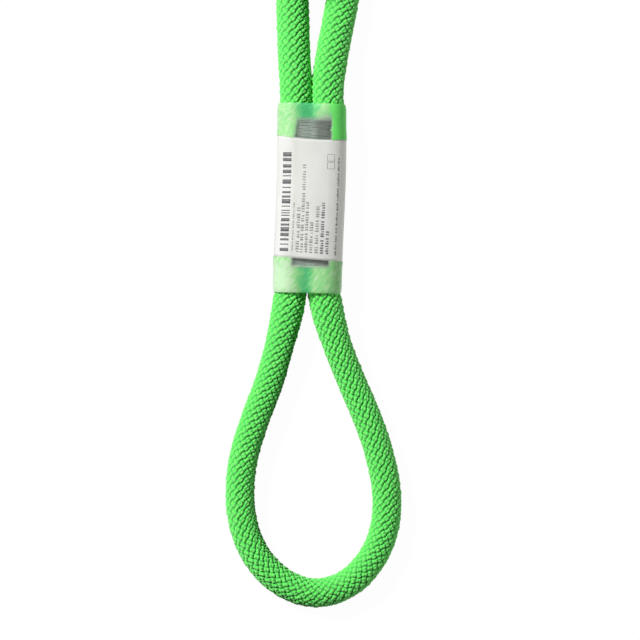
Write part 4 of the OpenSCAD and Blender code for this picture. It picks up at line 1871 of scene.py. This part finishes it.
@dataclass(frozen=True)
class LabelPrint:
    """The label's cut and what is printed on it, in millimetres round the sleeve's middle."""

    low: float = -19.65  # lower edge in the middle
    high: float = 18.85  # upper edge in the middle
    low_slant: float = -0.056  # rise of the lower edge, per millimetre across
    high_slant: float = -0.046  # rise of the upper edge
    high_curve: float = 0.0072  # how the upper edge rises with the square of the distance across
    radius: float = 5.95  # outer radius round a strand
    dip: float = 0.08  # how far it sinks between the strands
    seed: int = 5  # seed of the lengths of the printed marks

    def edges(self, x: Array) -> Pair:
        """Places of the lower and the upper edge at distances x across."""
        upper = self.high + self.high_slant * x + self.high_curve * x**2
        return self.low + self.low_slant * x, upper

    def line(self, x0: float, x1: float, y0: float, y1: float, mark: float) -> list[tuple]:
        """A ruled line of short marks in groups, like a line of small print seen from afar.

        Args:
            x0, x1: its left and right side.
            y0, y1: its lower and upper end.
            mark: a mark's mean length.

        Returns:
            Bars, each as left, right, lower and upper.
        """
        rng = np.random.default_rng(self.seed + int(100 * (x0 + 20)))
        bars, y = [], y0
        while y < y1 - mark:
            for _ in range(rng.integers(3, 9)):
                tall = mark * rng.uniform(0.35, 0.75)
                if y + tall > y1:
                    break
                inset = (x1 - x0) * rng.choice([0.0, 0.0, 0.25])
                bars.append((x0 + inset, x1, y, y + tall))
                y += mark
            y += mark * 0.8
        return bars

    def code(self, x0: float, x1: float, y0: float, y1: float) -> list[tuple]:
        """A strip of bars of uneven widths between two places."""
        rng = np.random.default_rng(self.seed)
        bars, y = [], y0
        while y < y1 - 1.4:
            tall = rng.choice([0.35, 0.7, 1.05, 1.4])
            bars.append((x0, x1, y, y + tall))
            y += tall + rng.choice([0.45, 0.7, 1.0])
        return bars

    @staticmethod
    def box(x0: float, x1: float, y0: float, y1: float, rule: float = 0.16) -> list[tuple]:
        """The four sides of an empty box."""
        return [
            (x0, x1, y0, y0 + rule), (x0, x1, y1 - rule, y1),
            (x0, x0 + rule, y0 + rule, y1 - rule), (x1 - rule, x1, y0 + rule, y1 - rule),
        ]

    def bars(self) -> tuple[list[tuple], list[tuple]]:
        """The bold print and the fine print."""
        bold = (
            self.code(-9.2, -6.5, -17.2, 15.6)
            + self.line(3.7, 4.75, -17.8, -0.8, 0.78)
            + self.line(5.4, 6.4, -17.9, -10.0, 0.78)
            + self.line(8.35, 8.95, -18.2, 13.4, 0.62)
        )
        fine = (
            self.line(-5.5, -5.0, -17.0, -1.5, 0.5)
            + self.line(-4.2, -3.1, -17.4, -3.0, 0.8)
            + self.line(-2.8, -1.8, -17.5, 11.0, 0.8)
            + self.line(-1.4, -0.4, -17.5, -1.0, 0.8)
            + self.line(0.1, 1.2, -17.6, -7.6, 0.8)
            + self.line(1.9, 3.0, -17.7, -2.4, 0.8)
            + self.box(5.0, 7.4, 9.4, 11.7)
            + self.box(5.0, 7.4, 11.9, 14.2)
        )
        return bold, fine


@dataclass
class TieWork:
    """The hook-and-loop tie round the hank's waist."""

    shop: Workshop
    size: Layout
    patch_from: float = 15.0  # the angle round the bundle at which the hook end starts, in degrees
    patch_to: float = 112.5  # the angle at which it ends
    patch_inset: float = 0.75
    corner: float = 3.0  # radius of its corners
    loop_pile: float = 0.2
    hook_pile: float = 0.1
    band_step: float = 0.45
    patch_step: float = 0.5
    stitch_count: int = 9
    stitch_gap: float = 0.35
    stitch_r: float = 0.26
    # How far before the hook end's edge the two rows are, in degrees.
    row_angles: tuple = (7.5, 22.5)
    seed: int = 9  # seed of the pile

    @property
    def bundle(self) -> Array:
        """What the band goes round at the waist: x, z and radius, one a row."""
        z = self.size
        return np.array([
            [z.hank_x - z.waist_x, z.waist_z, z.rope_r],
            [z.hank_x + z.waist_x, z.waist_z, z.rope_r],
            [z.hank_x + z.waist_x, z.waist_z + z.layer, z.rope_r],
            [z.long_x + z.strand_x, z.long_z, z.sleeve_r],
            [z.long_x - z.strand_x, z.long_z, z.sleeve_r],
        ])

    def taut_line(self, start: float, end: float, step: float) -> Pair:
        """A taut line round the bundle, between the points that face two angles.

        The point that faces angle a lies on the circle for which
        x cos(a) + z sin(a) + r is greatest, and straight stretches join the arcs.

        Args:
            start, end: the two angles, in degrees.
            step: space between points.

        Returns:
            The points in X and Z on the bundle itself, and the outward direction at each.
        """
        a = np.radians(np.linspace(start, end, int((end - start) / 0.25) + 1))
        c = self.bundle
        out = np.stack([np.cos(a), np.sin(a)], -1)
        reach = out @ c[:, :2].T + c[:, 2]
        chosen = c[np.argmax(reach, axis=1)]
        points = chosen[:, :2] + chosen[:, 2:] * out
        far = arc_lengths(points)
        at = np.linspace(0, far[-1], int(far[-1] / step) + 1)
        return resampled(at, far, points), unit(resampled(at, far, out))

    def strap(
        self, line: Array, out: Array, low: float, high: float, half_w: Array,
        closed: bool, pile: float,
    ) -> Surface:
        """A strap along a line round the waist, with rounded edges.

        Args:
            line, out: its points in X and Z, and the outward direction at each.
            low, high: heights of its inner and its outer face above the line.
            half_w: half its width at each point.
            closed: whether it goes all the way round.
            pile: height of the loops on its outer face.

        Returns:
            The strap's surface.
        """
        count = len(line)
        middle, thick = (low + high) / 2, (high - low) / 2
        flat = np.linspace(-1, 1, 38)
        turn = np.linspace(np.pi / 2, -np.pi / 2, 6)[1:-1]
        y = np.concatenate([flat, 1 + 0 * turn, flat[::-1], -1 + 0 * turn])
        bulge = np.concatenate([0 * flat, np.cos(turn), 0 * flat, -np.cos(turn)])
        level = np.concatenate([1 + 0 * flat, np.sin(turn), -1 + 0 * flat, np.sin(-turn)])
        rng = np.random.default_rng(self.seed)
        tuft = rng.random((count, len(y))) * pile * (level > 0.9)
        g = middle + thick * level + tuft
        inset = half_w[:, None] - thick
        across = inset * y + thick * bulge
        points = np.stack([
            line[:, :1] + out[:, :1] * g,
            self.size.hank_y + across,
            line[:, 1:] + out[:, 1:] * g,
        ], -1)
        m = len(y)
        faces = grid_faces(count + closed, m) % (count * m)
        if closed:
            return Surface(points.reshape(-1, 3), faces)
        ends = points[[0, -1]].mean(axis=1)
        caps = np.concatenate([
            fan(count * m, 0, m, turned=True), fan(count * m + 1, (count - 1) * m, m)
        ])
        return Surface(np.concatenate([points.reshape(-1, 3), ends]), faces, caps)

    def build(self, band: Material, hook: Material, thread: Material) -> None:
        """Makes the band, its hook end and the stitches that hold the end.

        Args:
            band, hook, thread: materials of the band, the hook end and the stitches.
        """
        z = self.size
        outer = z.band_clear + z.band_wall
        line, out = self.taut_line(0, 360, self.band_step)
        half_w = np.full(len(line) - 1, z.band_w / 2)
        top = outer - self.loop_pile
        loop = self.strap(
            line[:-1], out[:-1], z.band_clear, top, half_w, closed=True, pile=self.loop_pile
        )
        self.shop.piece(loop, "tie_loop_band", band, "tie_webbing", TIE_BODY, ("tie_band",))
        line, out = self.taut_line(self.patch_from, self.patch_to, self.patch_step)
        half = z.band_w / 2 - self.patch_inset
        steps = np.arange(len(line)) * self.patch_step
        from_end = np.clip(1 - steps / self.corner, 0, 1)
        rounded = half - self.corner * (1 - np.sqrt(1 - 0.96 * from_end**2))
        top = outer + z.band_wall - self.hook_pile
        end = self.strap(line, out, outer, top, rounded, closed=False, pile=self.hook_pile)
        self.shop.piece(end, "tie_hook_end", hook, "tie_hook", TIE_BODY, ("tie_hook_patch",))
        self.stitches(thread, outer + z.band_wall)

    def stitches(self, thread: Material, height: float) -> None:
        """Two rows of stitches across the hook end, near the edge that is sewn down.

        Each stitch is a short bowed thread that dives into the strap at both ends.

        Args:
            thread: their material.
            height: height of the strap's outer face above the bundle.
        """
        z, count = self.size, self.stitch_count
        edge_clear, proud, dive, sides = 3.0, 0.12, 0.55, 8
        pitch = (z.band_w - edge_clear) / count
        lines = []
        for before in self.row_angles:
            angle = self.patch_to - before
            line, out = self.taut_line(angle, angle + 0.5, 1.0)
            (x0, z0), (out_x, out_z) = line[0], out[0]
            t = np.linspace(-1, 1, 9)
            for k in range(count):
                y = z.hank_y + (k - (count - 1) / 2) * pitch + t * (pitch - self.stitch_gap) / 2
                g = height - self.hook_pile + proud - dive * np.abs(t) ** 3
                lines.append(np.stack([x0 + out_x * g, y, z0 + out_z * g], -1))
        lines = np.array(lines)
        rows = tubes(lines, np.full(lines.shape[:2], self.stitch_r), sides, ALONG_X)
        self.shop.piece(rows, "tie_stitches", thread, "tie_thread", TIE_BODY, ("tie_stitching",))


# ---- studio ----


@dataclass(frozen=True)
class Studio:
    """White floor, soft lamps and a camera that looks straight down."""

    layout: Array  # the middle of the tie-in sleeve on the floor, in metres
    # The point that the camera looks at, in millimetres from there.
    aim: tuple = (4.36, -39.06, 5.0)
    # How much of the plane of the rope's middle the picture is wide, in millimetres.
    wide: float = 206.45
    roll: float = 1.357  # how far the lanyard leans to the right in the picture, in degrees
    distance: float = 1.2  # height of the camera above its aim, in metres
    sensor: float = 36.0  # width of its sensor, in millimetres
    dim: float = 0.05  # brightness of the world where only the lanyard meets its light
    floor_half: float = 6.0  # half the width of the floor, in metres
    floor_z: float = -0.0002  # its height, just under the lanyard
    floor_glow: float = 1.22  # strength of the floor's own white
    floor_share: float = 0.8  # how much of that white the camera sees

    def camera(self) -> None:
        """The camera, above its aim, with the lanyard leaning by the roll."""
        lens = bpy.data.cameras.new("camera")
        lens.sensor_width = self.sensor
        lens.lens = self.sensor * self.distance / (self.wide * MM)
        lens.clip_start, lens.clip_end = 0.01, 100.0
        made = bpy.data.objects.new("camera", lens)
        bpy.context.scene.collection.objects.link(made)
        centre = np.array(self.aim) * MM + self.layout + [0, 0, self.distance]
        made.matrix_world = Matrix.Translation(centre.tolist()) @ Matrix.Rotation(
            math.radians(self.roll), 4, "Z"
        )
        bpy.context.scene.camera = made

    def lamp(self, name: str, place: tuple, size: float, watts: float) -> None:
        """A square area lamp that faces the lanyard.

        Args:
            name: its name.
            place: where it is, in metres from the tie-in eye.
            size: its side, in metres.
            watts: its power.
        """
        data = bpy.data.lights.new(name, "AREA")
        data.shape, data.size, data.energy = "SQUARE", size, watts
        made = bpy.data.objects.new(name, data)
        bpy.context.scene.collection.objects.link(made)
        made.location = place
        made.rotation_euler = (-Vector(place)).to_track_quat("-Z", "Y").to_euler()

    def lights(self) -> None:
        """A key lamp at the upper left, a low lamp on the right, and an even white world."""
        self.lamp("key", (-0.94, 0.62, 1.0), 0.4, 34.0)
        self.lamp("rim", (1.35, -0.5, 0.09), 0.14, 7.0)
        world = bpy.data.worlds.new("white_world")
        bpy.context.scene.world = world
        world.use_nodes = True
        nodes, links = world.node_tree.nodes, world.node_tree.links
        background = nodes["Background"]
        background.inputs["Color"].default_value = (1, 1, 1, 1)
        path = nodes.new("ShaderNodeLightPath")
        seen = nodes.new("ShaderNodeMath")
        seen.operation, seen.use_clamp = "ADD", True
        links.new(path.outputs["Is Camera Ray"], seen.inputs[0])
        links.new(path.outputs["Is Transmission Ray"], seen.inputs[1])
        also = nodes.new("ShaderNodeMath")
        also.operation = "MAXIMUM"
        links.new(path.outputs["Is Glossy Ray"], also.inputs[0])
        links.new(seen.outputs[0], also.inputs[1])
        strength = nodes.new("ShaderNodeMapRange")
        strength.inputs["To Min"].default_value = self.dim
        strength.inputs["To Max"].default_value = 1.0
        links.new(also.outputs[0], strength.inputs["Value"])
        links.new(strength.outputs[0], background.inputs["Strength"])

    def floor(self) -> None:
        """A wide white floor, which shows its own white to the camera and keeps soft shadows."""
        corners = np.array([[-1, -1, 0], [1, -1, 0], [1, 1, 0], [-1, 1, 0]], float)
        plane = Surface(corners * self.floor_half / MM, np.array([[0, 1, 2, 3]]))
        made = plane.build("floor", np.array([0.0, 0.0, self.floor_z]))
        s = Shader("white_floor")
        s.set(Base_Color=(0.2, 0.2, 0.2, 1), Roughness=0.9, Specular_IOR_Level=0.1)
        white = s.add("ShaderNodeEmission", Strength=self.floor_glow)
        path = s.add("ShaderNodeLightPath")
        seen = s.math("MAXIMUM", path.outputs["Is Camera Ray"], path.outputs["Is Glossy Ray"])
        seen = s.math("MAXIMUM", seen, path.outputs["Is Transmission Ray"])
        mix = s.add("ShaderNodeMixShader")
        s.link(s.math("MULTIPLY", seen, self.floor_share), mix.inputs[0])
        s.link(s.shader.outputs[0], mix.inputs[1])
        s.link(white.outputs[0], mix.inputs[2])
        s.link(mix.outputs[0], s.tree.nodes["Material Output"].inputs["Surface"])
        made.data.materials.append(s.material)


def main() -> None:
    """Builds the studio and the lanyard, piece by piece."""
    logging.basicConfig(level=logging.INFO, format="%(name)s: %(message)s", stream=sys.stdout)
    size = Layout()
    low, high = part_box("main_sleeve")
    origin = np.array([(low.x + high.x) / 2, (low.y + high.y) / 2, 0.0])
    studio = Studio(origin)
    studio.camera()
    main_end = Termination("main", 0.0, 0.0, size.main_z, size.main_sleeve_len, bow=0.5)
    short_end = Termination(
        "short_arm", size.short_x, size.short_lip_y - size.arm_sleeve_len / 2, size.short_z,
        size.arm_sleeve_len,
    )
    long_end = Termination(
        "long_arm", size.long_x, size.long_lip_y + size.arm_sleeve_len / 2, size.long_z,
        size.arm_sleeve_len,
    )
    shop = Workshop(origin)
    rope = Rope(RopeRoute(size), [main_end, short_end, long_end])
    RopeWork(shop, size, rope).build()
    thread = ThreadFinish().material()
    milky = SleeveFinish().material()
    main_work = SewnTermination(
        shop, size, main_end, size.main_stitch_len, size.main_stitch_y, label=LabelPrint()
    )
    main_work.stitching(thread, "main_stitching")
    main_work.film(FilmFinish().material(), "main_label")
    main_work.printing(
        InkFinish("dark_ink", (0.06, 0.06, 0.065, 1)).material(),
        InkFinish("pale_ink", (0.26, 0.26, 0.25, 1)).material(),
    )
    main_work.sleeve(milky, "main_sleeve")
    for place in (short_end, long_end):
        work = SewnTermination(shop, size, place, size.arm_stitch_len)
        work.stitching(thread, f"{place.name}_stitching")
        work.sleeve(milky, f"{place.name}_sleeve")
    TieWork(shop, size).build(
        PileFinish("loop_pile").material(),
        PileFinish("hook_tape", grain=1500.0).material(),
        ThreadFinish("tie_thread", (0.35, 0.36, 0.37, 1), (0.14, 0.14, 0.15, 1)).material(),
    )
    studio.lights()
    studio.floor()
    bpy.context.scene.view_settings.view_transform = "Standard"


if __name__ == "__main__":
    main()
